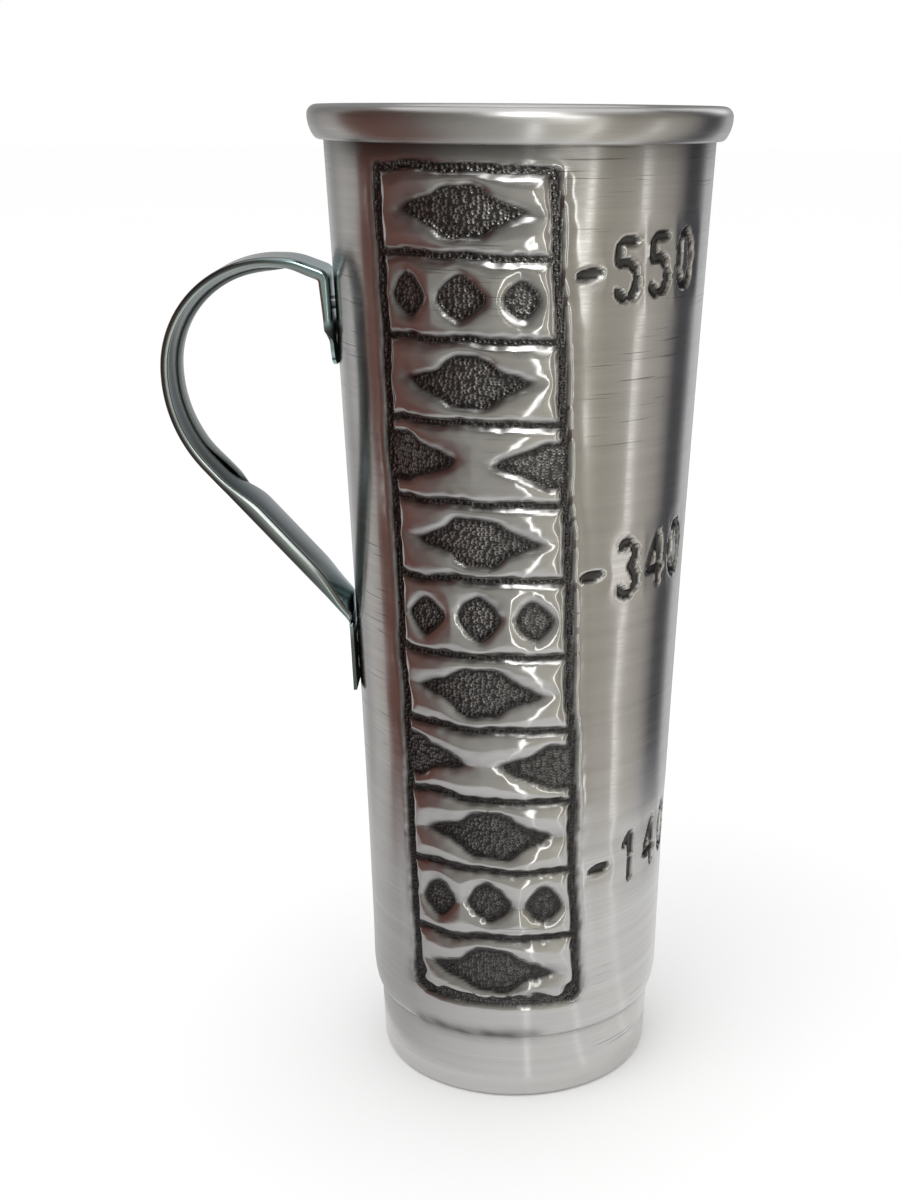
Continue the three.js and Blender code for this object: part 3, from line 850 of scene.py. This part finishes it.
def rounded(corners, cuts):
    """An open outline with its inner corners cut back and rounded."""
    corners = [np.array(c) for c in corners]
    points = [corners[0]]
    for before, at, after, cut in zip(corners, corners[1:], corners[2:], cuts):
        start = at + (before - at) * cut / np.hypot(*(before - at))
        end = at + (after - at) * cut / np.hypot(*(after - at))
        for t in np.linspace(0, 1, EDGE_STEPS + 1):
            points.append((1 - t) ** 2 * start + 2 * t * (1 - t) * at + t ** 2 * end)
    return points


def folded_half(room, width, hollow, bevel, crown):
    """Half an outline: outer face, round edge, bevel, crowned flange, its underside and the hollow."""
    depth = 2 * STRAP_SHEET + hollow
    edge = depth - bevel
    rise = min(crown, max(room - depth, 0))
    slant = bevel * BEVEL_SLOPE
    middle = STRAP_WIDTH / 2

    def flange(u):
        return depth + rise * (1 - ((middle - u) / (middle - slant)) ** 2)

    inward = np.linspace(slant, width, FLANGE_STEPS + 1)[1:]
    inward = np.insert(inward, -1, width - min(TIP_EDGE, (inward[0] - slant) / 2))
    corners = [(FOLD_LEAST, 0), (0, 0), (0, edge), (slant, depth), (inward[0], flange(inward[0]))]
    cuts = (
        EDGE_ROUND * min(edge, FOLD_LEAST),
        min(BEVEL_ROUND, BEVEL_ROUND_SHARE * bevel),
        min(FLANGE_ROUND, FLANGE_ROUND_SHARE * (inward[0] - slant)),
    )
    points = rounded(corners, cuts)
    points += [(u, flange(u)) for u in inward]
    under = np.linspace(width, max(STRAP_SHEET, slant) + FOLD_HEEL, FLANGE_STEPS)
    points += [(u, flange(u) - STRAP_SHEET) for u in under]
    points += [(STRAP_SHEET, depth / 2), (FOLD_LEAST, STRAP_SHEET)]
    return np.array([(middle - u, d) for u, d in points])


HOLLOW_POINTS = FLANGE_STEPS + 2
BEVEL_FIRST = EDGE_STEPS + 2
BEVEL_END = 3 * EDGE_STEPS + 4
TIP_FIRST = BEVEL_END + FLANGE_STEPS


def flat_half(half_width, count):
    """The same number of points along half an outline of a flat tab."""
    root = half_width - FOLD_LEAST
    corners = [(root, 0.0), (half_width, 0.0), (half_width, STRAP_SHEET), (root, STRAP_SHEET)]
    shares = [(count - 1) // 3, (count - 1) // 3, count - 1 - 2 * ((count - 1) // 3)]
    points = [corners[0]]
    for i, steps in enumerate(shares):
        points += line_points(corners[i], corners[i + 1], steps)
    return np.array(points)


def fold_at(keys, run):
    """Fold sizes at a length run, eased between the places where they are given."""
    runs = [key[0] for key in keys]
    i = min(max(np.searchsorted(runs, run) - 1, 0), len(keys) - 2)
    share = smoothstep(run, runs[i], runs[i + 1])
    return np.array(keys[i][1]) * (1 - share) + np.array(keys[i + 1][1]) * share


def room_to_wall(place, out):
    """How deep the strap can be at a station before it meets the wall."""
    if out[0] <= FACING_LEAST:
        return math.inf
    slope = float(wall_radius(place[1] + 1) - wall_radius(place[1] - 1)) / 2
    return float(place[0] - wall_radius(place[1]) - TAB_GAP) / (out[0] - slope * out[1])


def build_handle():
    stations, ends = handle_stations(handle_corners())
    bend, shift, foot = ends[0], ends[3], ends[4] - LOWER_BEND * (math.pi / 2 - DIAGONAL)
    begin = [(FOLD_START, FOLD_ON_TAB), (bend, FOLD_AT_BEND)]
    near_keys = begin + [
        (bend + FOLD_GROW, NEAR_ON_ARC),
        (shift + KINK_RUN - NEAR_LEAD, NEAR_ON_ARC),
        (shift + KINK_RUN - NEAR_LEAD + NEAR_SHIFT, NEAR_ON_DIAGONAL),
        (foot - FOOT_RUN, NEAR_ON_DIAGONAL),
        (foot, NEAR_AT_FOOT),
    ]
    far_keys = begin + [
        (bend + FOLD_GROW, FAR_ON_ARC),
        (shift - KINK_RUN, FAR_ON_ARC),
        (shift + KINK_RUN, FAR_AT_KINK),
        (shift + KINK_RUN + FAR_SHIFT, FAR_ON_DIAGONAL),
        (foot, FAR_ON_DIAGONAL),
    ]
    points, runs, dark, worn, teal, rings = [], [], [], [], [], 0
    for place, out, run in stations:
        room = room_to_wall(place, out)
        folded = smoothstep(run, FOLD_START - FOLD_RUN_OUT, FOLD_START)
        folded *= smoothstep(min(room, FOLD_SHUT), FOLD_FLAT, FOLD_SHUT)
        left = max(TAB_CORNER - run, 0)
        half_width = STRAP_WIDTH / 2 - TAB_CORNER + math.sqrt(TAB_CORNER ** 2 - left ** 2)
        halves = []
        for keys in (far_keys, near_keys):
            half = folded_half(room, *fold_at(keys, run))
            flat = flat_half(half_width, len(half))
            halves.append(flat + (half - flat) * folded)
        far, near = halves
        outline = [*far, *(near[::-1] * (-1, 1))]
        count = len(far)
        # Painted shade: black inside the fold's hollow and over the tabs' faces, where shade falls
        on_lower_tab = smoothstep(run - foot, *FOOT_TAB_SHADE)
        on_upper_tab = smoothstep(run, FOLD_START + UPPER_TAB_SHADE_RUN, FOLD_START)
        hollow = np.zeros(count)
        past_tab = smoothstep(run, FOLD_START, bend)
        in_fold = (FOLD_SHADE_LEAST + (1 - FOLD_SHADE_LEAST) * past_tab) * folded ** 4
        hollow[-HOLLOW_POINTS:] = max(in_fold if run > FOLD_START else 0, on_lower_tab)
        hollow[: count // 3] = on_upper_tab
        dark += [*hollow, *hollow[::-1]]
        # Paler bevels and flange tips: partly rubbed wear, partly a painted highlight
        edge = np.zeros(count)
        edge[BEVEL_FIRST:BEVEL_END] = folded
        edge[TIP_FIRST:TIP_FIRST + 2] = folded
        worn += [*edge, *edge[::-1]]
        # Painted light: a paler teal tint near the upper bend, where the sky lights the strap, and before the
        # lower bend
        tint = smoothstep(run, bend + PAINTED_LIGHT_RUN, bend)
        tint += PAINTED_LIGHT_AT_FOOT * smoothstep(run, foot - PAINTED_LIGHT_RUN, foot) * (1 - on_lower_tab)
        teal += [float(tint)] * 2 * count
        for across, deep in outline:
            rho, z = place - out * deep
            points.append((-rho, across, z))
            runs.append((run, across))
        rings += 1
    count = len(outline)
    faces = grid_faces(rings, count)
    faces.append(list(range(count))[::-1])
    faces.append([(rings - 1) * count + k for k in range(count)])
    mesh = new_mesh("handle_strap", np.array(points) * MM, faces)
    add_values(mesh, patina=np.array(dark), worn=np.array(worn), teal=np.array(teal))
    layer = mesh.uv_layers.new(name="wrap")
    layer.data.foreach_set("uv", np.array(runs, np.float32)[corner_points(mesh)].ravel())
    return mesh


def build_rivet(z):
    """One rivet about its own axis, then set square to the wall on the handle's side."""
    count = RIVET_SIDES
    turns = np.linspace(0, 2 * math.pi, count, endpoint=False)
    rises = np.linspace(0, math.pi / 2, RIVET_DOME_STEPS + 1)[:-1]
    dome = [(RIVET_HEAD * math.cos(t), RIVET_HEAD_HEIGHT * math.sin(t)) for t in rises]
    profile = [(r, RIVET_INNER_SEAT - h) for r, h in reversed(dome)]
    profile += [(RIVET_SHANK, RIVET_INNER_SEAT), (RIVET_SHANK, RIVET_SEAT)]
    profile += [(r, RIVET_SEAT + h) for r, h in dome]
    points = [(0, RIVET_INNER_SEAT - RIVET_HEAD_HEIGHT, 0)]
    for r, h in profile:
        points += [(r * math.cos(t), h, r * math.sin(t)) for t in turns]
    points.append((0, RIVET_SEAT + RIVET_HEAD_HEIGHT, 0))
    faces = [[0, 1 + (k + 1) % count, 1 + k] for k in range(count)]
    faces += grid_faces(len(profile), count, first=1)
    last = 1 + (len(profile) - 1) * count
    faces += [[last + k, last + (k + 1) % count, last + count] for k in range(count)]
    mesh = new_mesh("rivet", points, faces)
    slope = math.atan(float(wall_radius(z + 1) - wall_radius(z - 1)) / 2)
    place = Matrix.Translation((-float(wall_radius(z)), 0, z))
    turn = Matrix.Rotation(-slope, 4, "Y") @ Matrix.Rotation(math.pi / 2, 4, "Z")
    mesh.transform(Matrix.Scale(MM, 4) @ place @ turn)
    return mesh


# Materials


class Nodes:
    """A material's nodes, with short calls to add and link them."""

    def __init__(self, name):
        self.material = bpy.data.materials.new(name)
        self.material.use_nodes = True
        self.tree = self.material.node_tree
        self.shader = next(n for n in self.tree.nodes if n.type == "BSDF_PRINCIPLED")

    def add(self, kind, **values):
        node = self.tree.nodes.new(kind)
        for key, value in values.items():
            setattr(node, key, value)
        return node

    def put(self, node, name, value):
        if hasattr(value, "is_output"):
            self.tree.links.new(value, node.inputs[name])
        else:
            node.inputs[name].default_value = value

    def shade(self, name, value):
        self.put(self.shader, name, value)

    def math(self, operation, a, b=0.0):
        node = self.add("ShaderNodeMath", operation=operation)
        self.put(node, 0, a)
        self.put(node, 1, b)
        return node.outputs[0]

    def ramp(self, value, low, high, start=0.0, end=1.0):
        node = self.add("ShaderNodeMapRange", clamp=True)
        sockets = ("Value", "From Min", "From Max", "To Min", "To Max")
        for name, v in zip(sockets, (value, low, high, start, end)):
            self.put(node, name, v)
        return node.outputs["Result"]

    def mix(self, share, a, b):
        node = self.add("ShaderNodeMix", data_type="RGBA")
        self.put(node, 0, share)
        self.put(node, 6, a)
        self.put(node, 7, b)
        return node.outputs[2]

    def noise(self, vector, stretch, detail=3.0):
        mapping = self.add("ShaderNodeMapping")
        self.put(mapping, "Vector", vector)
        self.put(mapping, "Scale", stretch)
        node = self.add("ShaderNodeTexNoise")
        self.put(node, "Vector", mapping.outputs[0])
        self.put(node, "Scale", 1.0)
        self.put(node, "Detail", detail)
        return node.outputs["Fac"]

    def attribute(self, name, output="Fac"):
        return self.add("ShaderNodeAttribute", attribute_name=name).outputs[output]

    def cells(self, vector, scale):
        node = self.add("ShaderNodeTexVoronoi", feature="F1", voronoi_dimensions="2D")
        self.put(node, "Vector", vector)
        self.put(node, "Scale", scale)
        self.put(node, "Randomness", CELL_RANDOM)
        return node.outputs["Distance"], node.outputs["Color"]

    def bump(self, height, strength, distance, normal=None):
        node = self.add("ShaderNodeBump")
        self.put(node, "Height", height)
        self.put(node, "Strength", strength)
        self.put(node, "Distance", distance)
        if normal:
            self.put(node, "Normal", normal)
        return node.outputs[0]


def rgba(r, g, b):
    return (r, g, b, 1.0)


ALUMINIUM_GREY = rgba(0.54, 0.535, 0.525)
ALUMINIUM_PALE = rgba(0.62, 0.615, 0.605)
ALUMINIUM_BRUSHED = rgba(0.56, 0.55, 0.54)
ALUMINIUM_BLOTCH = rgba(0.52, 0.5, 0.46)
ALUMINIUM_INSIDE_PAINTED_LIGHT = rgba(0.84, 0.835, 0.825)
SCRATCH = rgba(0.1, 0.095, 0.09)
DARK_PATINA_AND_SHADE = rgba(0.029, 0.027, 0.027)
ZINC_BLUE = rgba(0.16, 0.2, 0.206)
ZINC_GREY = rgba(0.215, 0.23, 0.222)
ZINC_STREAK = rgba(0.125, 0.146, 0.152)
ZINC_PAINTED_LIGHT = rgba(0.4, 0.55, 0.56)
ZINC_WORN_AND_HIGHLIGHT = rgba(0.5, 0.56, 0.55)
STRAP_PAINTED_SHADE = rgba(0.01, 0.01, 0.01)
RIVET_GREY = rgba(0.52, 0.52, 0.51)
RIVET_PALE = rgba(0.66, 0.66, 0.65)
PALE_FLOOR = rgba(0.99, 0.99, 0.99)

# How often the noises repeat along x, y and z: per metre of place, or per millimetre of unrolled sheet
BRUSH_FINE = (30, 30, 3200)
BRUSH_BROAD = (12, 12, 500)
BLOTCHES = (50, 50, 30)
SCRATCHES = (70, 70, 2600)
SCRATCH_PATCHES = (50, 50, 35)
STREAKS = (0.06, 1.6, 1)
TINTS = (0.05, 0.12, 1)
SPOTS = (900, 900, 900)
WORN_CELLS = 1.15
CELL_RANDOM = 0.8


def aluminium():
    n = Nodes("worn_aluminium")
    wrap = n.add("ShaderNodeUVMap", uv_map="wrap").outputs[0]
    place = n.add("ShaderNodeTexCoord").outputs["Object"]
    fine = n.noise(place, BRUSH_FINE, 4)
    broad = n.noise(place, BRUSH_BROAD)
    blotch = n.noise(place, BLOTCHES)
    scratch = n.noise(place, SCRATCHES, 0)
    where = n.noise(place, SCRATCH_PATCHES, 0)
    cut = n.math("MULTIPLY", n.ramp(scratch, 0.7, 0.78), n.ramp(where, 0.58, 0.7))
    patina, stipple, burnish, inside = map(n.attribute, ("patina", "stipple", "burnish", "inside"))
    cut = n.math("MULTIPLY", cut, n.ramp(burnish, -0.6, -0.1))
    cells, tone = n.cells(wrap, WORN_CELLS)
    ring = n.math("MULTIPLY", n.ramp(cells, 0.1, 0.3), n.ramp(cells, 0.56, 0.4))
    worn = n.math("ADD", n.math("MULTIPLY", ring, n.ramp(tone, 0.1, 0.9, 0.1, 0.5)), 0.09)
    worn = n.math("MULTIPLY", stipple, worn)
    broken = n.math("SUBTRACT", patina, worn)
    bright = n.mix(n.ramp(broad, 0.3, 0.7), ALUMINIUM_GREY, ALUMINIUM_PALE)
    bright = n.mix(n.ramp(fine, 0.35, 0.7, 0.0, 0.6), bright, ALUMINIUM_BRUSHED)
    bright = n.mix(n.ramp(blotch, 0.45, 0.75, 0.0, 0.3), bright, ALUMINIUM_BLOTCH)
    bright = n.mix(n.math("MULTIPLY", cut, 0.6), bright, SCRATCH)
    # Painted light: a paler copy of the aluminium lifts the dim inside of the cup
    bright = n.mix(inside, bright, ALUMINIUM_INSIDE_PAINTED_LIGHT)
    # Dark patina in the relief's hollows and cuts, and painted shade under the rim, along the crease and
    # behind the tabs
    colour = n.mix(broken, bright, DARK_PATINA_AND_SHADE)
    n.shade("Base Color", colour)
    n.shade("Metallic", 1.0)
    polish = n.ramp(fine, 0.3, 0.75, 0.18, 0.27)
    polish = n.math("SUBTRACT", polish, n.math("MULTIPLY", burnish, 0.1))
    n.shade("Roughness", n.math("ADD", polish, n.math("MULTIPLY", patina, 0.14)))
    n.shade("Anisotropic", 0.75)
    n.shade("Anisotropic Rotation", 0.25)
    tangent = n.add("ShaderNodeTangent", direction_type="RADIAL", axis="Z")
    n.shade("Tangent", tangent.outputs[0])
    dents = n.math("MULTIPLY", n.ramp(cells, 0.0, 0.6), n.ramp(stipple, 0.1, 0.28))
    brushed = n.bump(fine, 0.05, 0.0002)
    n.shade("Normal", n.bump(dents, 0.7, 0.0003, brushed))
    return n.material


def plated():
    n = Nodes("zinc_plated_steel")
    wrap = n.add("ShaderNodeUVMap", uv_map="wrap").outputs[0]
    streak = n.noise(wrap, STREAKS, 4)
    tint = n.noise(wrap, TINTS)
    colour = n.mix(n.ramp(tint, 0.35, 0.65), ZINC_BLUE, ZINC_GREY)
    colour = n.mix(n.ramp(streak, 0.45, 0.75, 0.0, 0.5), colour, ZINC_STREAK)
    # Painted light near the upper bend and the foot
    teal = n.attribute("teal")
    colour = n.mix(teal, colour, ZINC_PAINTED_LIGHT)
    # Rubbed wear and painted highlight on the bevels and flange tips
    worn = n.attribute("worn")
    worn = n.math("MULTIPLY", worn, n.ramp(tint, 0.3, 0.7, 0.55, 1.0))
    colour = n.mix(worn, colour, ZINC_WORN_AND_HIGHLIGHT)
    # On the strap this is only painted shade, inside the folds and on the tabs
    patina = n.attribute("patina")
    colour = n.mix(n.math("MULTIPLY", patina, 0.97), colour, STRAP_PAINTED_SHADE)
    n.shade("Base Color", colour)
    n.shade("Metallic", n.math("SUBTRACT", 1.0, patina))
    smooth = n.ramp(streak, 0.3, 0.7, 0.1, 0.2)
    n.shade("Roughness", n.math("ADD", smooth, n.math("MULTIPLY", patina, 0.7)))
    n.shade("Normal", n.bump(streak, 0.06, 0.0002))
    return n.material


def rivet_metal():
    n = Nodes("rivet_aluminium")
    place = n.add("ShaderNodeTexCoord").outputs["Object"]
    spots = n.noise(place, SPOTS)
    colour = n.mix(n.ramp(spots, 0.35, 0.65), RIVET_GREY, RIVET_PALE)
    n.shade("Base Color", colour)
    n.shade("Metallic", 1.0)
    n.shade("Roughness", n.ramp(spots, 0.3, 0.7, 0.28, 0.4))
    return n.material


# Edges that turn more than this, in degrees, stay sharp
CUP_SHARP = 50
HANDLE_SHARP = 40


def add_piece(name, mesh, material, node, angle):
    mesh.materials.append(material)
    mesh.validate()
    mesh.shade_smooth()
    mesh.set_sharp_from_angle(angle=math.radians(angle))
    obj = add_object(name, mesh)
    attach(obj, "root")
    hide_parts(node)


add_piece("cup", build_cup(), aluminium(), "cup_shell", CUP_SHARP)
add_piece("handle_strap", build_handle(), plated(), "handle", HANDLE_SHARP)
rivets = {
    "rivet_upper_low": UPPER_TAB_END + RIVET_LOW_SHARE * UPPER_TAB_LENGTH,
    "rivet_upper_high": UPPER_TAB_END + RIVET_HIGH_SHARE * UPPER_TAB_LENGTH,
    "rivet_lower_low": LOWER_TAB_END + RIVET_LOW_SHARE * LOWER_TAB_LENGTH,
    "rivet_lower_high": LOWER_TAB_END + RIVET_HIGH_SHARE * LOWER_TAB_LENGTH,
}
metal = rivet_metal()
for node, z in rivets.items():
    add_piece("set_" + node, build_rivet(z), metal, node, HANDLE_SHARP)


# Floor, surround and light, in metres


FLOOR_HALF = 6.0


def add_floor():
    corners = [(-1, -1), (1, -1), (1, 1), (-1, 1)]
    mesh = new_mesh("floor", [(x * FLOOR_HALF, y * FLOOR_HALF, 0) for x, y in corners], [[0, 1, 2, 3]])
    n = Nodes("pale_floor")
    n.shade("Base Color", PALE_FLOOR)
    n.shade("Roughness", 0.9)
    mesh.materials.append(n.material)
    add_object("floor", mesh)


# The surround stands for the room that the polished wall mirrors: direction in degrees, red, green, blue
SURROUND = (
    (-180, 0.62, 0.62, 0.64),
    (-163, 0.55, 0.55, 0.56),
    (-150, 0.62, 0.62, 0.62),
    (-130, 0.4, 0.4, 0.4),
    (-118, 0.58, 0.57, 0.56),
    (-104, 0.56, 0.54, 0.52),
    (-99, 0.2, 0.11, 0.098),
    (-95, 0.165, 0.085, 0.072),
    (-72, 0.175, 0.085, 0.072),
    (-52, 0.2, 0.15, 0.14),
    (-40, 0.3, 0.28, 0.26),
    (-26, 0.4, 0.39, 0.36),
    (0, 0.48, 0.47, 0.43),
    (30, 0.68, 0.66, 0.58),
    (50, 0.46, 0.43, 0.37),
    (62, 0.5, 0.47, 0.42),
    (80, 0.56, 0.53, 0.48),
    (94, 0.42, 0.4, 0.37),
    (102, 0.22, 0.21, 0.21),
    (107, 0.075, 0.075, 0.085),
    (120, 0.08, 0.08, 0.09),
    (127, 0.3, 0.3, 0.3),
    (132, 0.62, 0.63, 0.64),
    (152, 0.62, 0.62, 0.63),
    (163, 0.28, 0.28, 0.28),
    (170, 0.5, 0.5, 0.51),
    (180, 0.62, 0.62, 0.64),
)

# How pale its floor is close to the cup: direction in degrees, grey
FLOOR_SHADE = (
    (-180, 0.7), (-95, 0.52), (-70, 0.52), (-40, 0.66),
    (-6, 0.77), (60, 0.88), (120, 0.85), (180, 0.7),
)
SURROUND_RADIUS = 0.19
SURROUND_INNER = 0.034
SURROUND_HEIGHT = 0.42
SURROUND_LIFT = 0.001
SURROUND_TURNS = 721
SURROUND_FLOOR_ROWS = 9
SURROUND_WALL_ROWS = 43
FLOOR_BLEND = (0.4, 1.0)
FLOOR_STREAK = 0.12
HIGH_SHADE = 0.45
HIGH_RANGE = (0.13, 0.25)
WINDOW_BOTTOM_RUN = 0.02
WINDOW_TOP_RUN = 0.01

# Window light in it: direction and half width in degrees, bottom and top in metres, strength
WINDOWS = (
    (7.0, 1.4, -1.0, 0.165, 2.6),
    (37.0, 1.5, -1.0, 0.185, 1.8),
    (72.0, 2.2, -1.0, 0.185, 1.0),
    (4.0, 14.0, 0.27, 0.42, 7.0),
    (134.0, 12.0, 0.22, 0.4, 1.0),
    (25.0, 10.0, 0.192, 0.28, 2.2),
)


def add_surround():
    """Seen only in reflections: a floor ring that pales towards the cup, and an upright round wall."""
    stops = np.array(SURROUND, float)
    turns = np.linspace(-180, 180, SURROUND_TURNS)
    angle = np.radians(turns)
    base = np.stack([np.interp(turns, stops[:, 0], stops[:, c]) for c in (1, 2, 3)], axis=1)
    close = np.interp(turns, *np.array(FLOOR_SHADE, float).T)[:, None]
    radii = np.linspace(SURROUND_INNER, SURROUND_RADIUS, SURROUND_FLOOR_ROWS)[:-1]
    levels = np.linspace(SURROUND_LIFT, SURROUND_HEIGHT, SURROUND_WALL_ROWS)
    points, shades = [], []
    for radius, z in [(r, SURROUND_LIFT) for r in radii] + [(SURROUND_RADIUS, z) for z in levels]:
        out = (radius - SURROUND_INNER) / (SURROUND_RADIUS - SURROUND_INNER)
        share = smoothstep(out, *FLOOR_BLEND)
        far = base * (1 - HIGH_SHADE * smoothstep(z, *HIGH_RANGE))
        shade = close + (far - close) * share
        for turn, half, low, high, strength in WINDOWS:
            tall = smoothstep(z, low, low + WINDOW_BOTTOM_RUN)
            tall = tall * smoothstep(z, high + WINDOW_TOP_RUN, high - WINDOW_TOP_RUN)
            level = strength * tall * (FLOOR_STREAK + (1 - FLOOR_STREAK) * share)
            shade = shade + (level * np.exp(-(((turns - turn) / half) ** 2)))[:, None]
        ring = [radius * np.sin(angle), -radius * np.cos(angle), np.full_like(angle, z)]
        points.append(np.stack(ring, axis=1))
        shades.append(np.concatenate([shade, np.ones((len(turns), 1))], axis=1))
    faces = grid_faces(len(points), len(turns), closed=False)
    mesh = new_mesh("surround", np.concatenate(points), faces)
    colours = mesh.color_attributes.new("shade", "FLOAT_COLOR", "POINT")
    colours.data.foreach_set("color", np.concatenate(shades).ravel())
    n = Nodes("surround_card")
    n.shade("Base Color", rgba(0, 0, 0))
    n.shade("Roughness", 1.0)
    n.shade("Emission Strength", 1.0)
    n.shade("Emission Color", n.attribute("shade", "Color"))
    mesh.materials.append(n.material)
    card = add_object("surround", mesh)
    card.visible_camera = False
    card.visible_diffuse = False
    card.visible_shadow = False


LAMP_AIM = Vector((0, 0, 0.1))


def add_area(name, azimuth, elevation, distance, size, power):
    light = bpy.data.lights.new(name, "AREA")
    light.shape = "RECTANGLE"
    light.size, light.size_y = size
    light.energy = power
    obj = add_object(name, light)
    a, e = math.radians(azimuth), math.radians(elevation)
    back = Vector((math.sin(a) * math.cos(e), -math.cos(a) * math.cos(e), math.sin(e)))
    obj.location = LAMP_AIM + back * distance
    obj.rotation_mode = "QUATERNION"
    obj.rotation_quaternion = (-back).to_track_quat("-Z", "Y")
    obj.visible_glossy = False


def add_world():
    world = bpy.data.worlds.new("studio")
    bpy.context.scene.world = world
    world.use_nodes = True
    back = next(n for n in world.node_tree.nodes if n.type == "BACKGROUND")
    back.inputs["Color"].default_value = rgba(1, 1, 1)
    back.inputs["Strength"].default_value = 1.0


add_floor()
add_surround()
add_world()
add_area("lamp_soft", azimuth=-40, elevation=60, distance=1.3, size=(0.8, 0.8), power=3.0)


# Camera, fitted to the photograph: focal length and axis point in pixels of its 900 by 1200 frame
FRAME_WIDTH = 900
FRAME_HEIGHT = 1200
SENSOR = 36.0
FOCAL_PIXELS = 1707.0
AXIS_PIXEL_X = 521.3
CAMERA_PLACE = (0.0, -342.5, 202.9)
PITCH_DOWN = math.radians(16.66)
YAW = math.radians(0.15)
ROLL = math.radians(0.41)


def add_camera():
    data = bpy.data.cameras.new("camera")
    camera = add_object("camera", data)
    ahead = Vector((
        math.sin(YAW) * math.cos(PITCH_DOWN),
        math.cos(YAW) * math.cos(PITCH_DOWN),
        -math.sin(PITCH_DOWN),
    ))
    level = Vector((math.cos(YAW), -math.sin(YAW), 0))
    upright = level.cross(ahead)
    right = level * math.cos(ROLL) + upright * math.sin(ROLL)
    up = upright * math.cos(ROLL) - level * math.sin(ROLL)
    turn = Matrix((right, up, -ahead)).transposed().to_4x4()
    camera.matrix_world = Matrix.Translation(Vector(CAMERA_PLACE) * MM) @ turn
    data.sensor_fit = "AUTO"
    data.sensor_width = SENSOR
    data.lens = SENSOR * FOCAL_PIXELS / FRAME_HEIGHT
    data.shift_x = (FRAME_WIDTH / 2 - AXIS_PIXEL_X) / FRAME_HEIGHT
    data.clip_start = 0.01
    data.clip_end = 50
    bpy.context.scene.camera = camera


add_camera()
bpy.context.scene.view_settings.view_transform = "Standard"
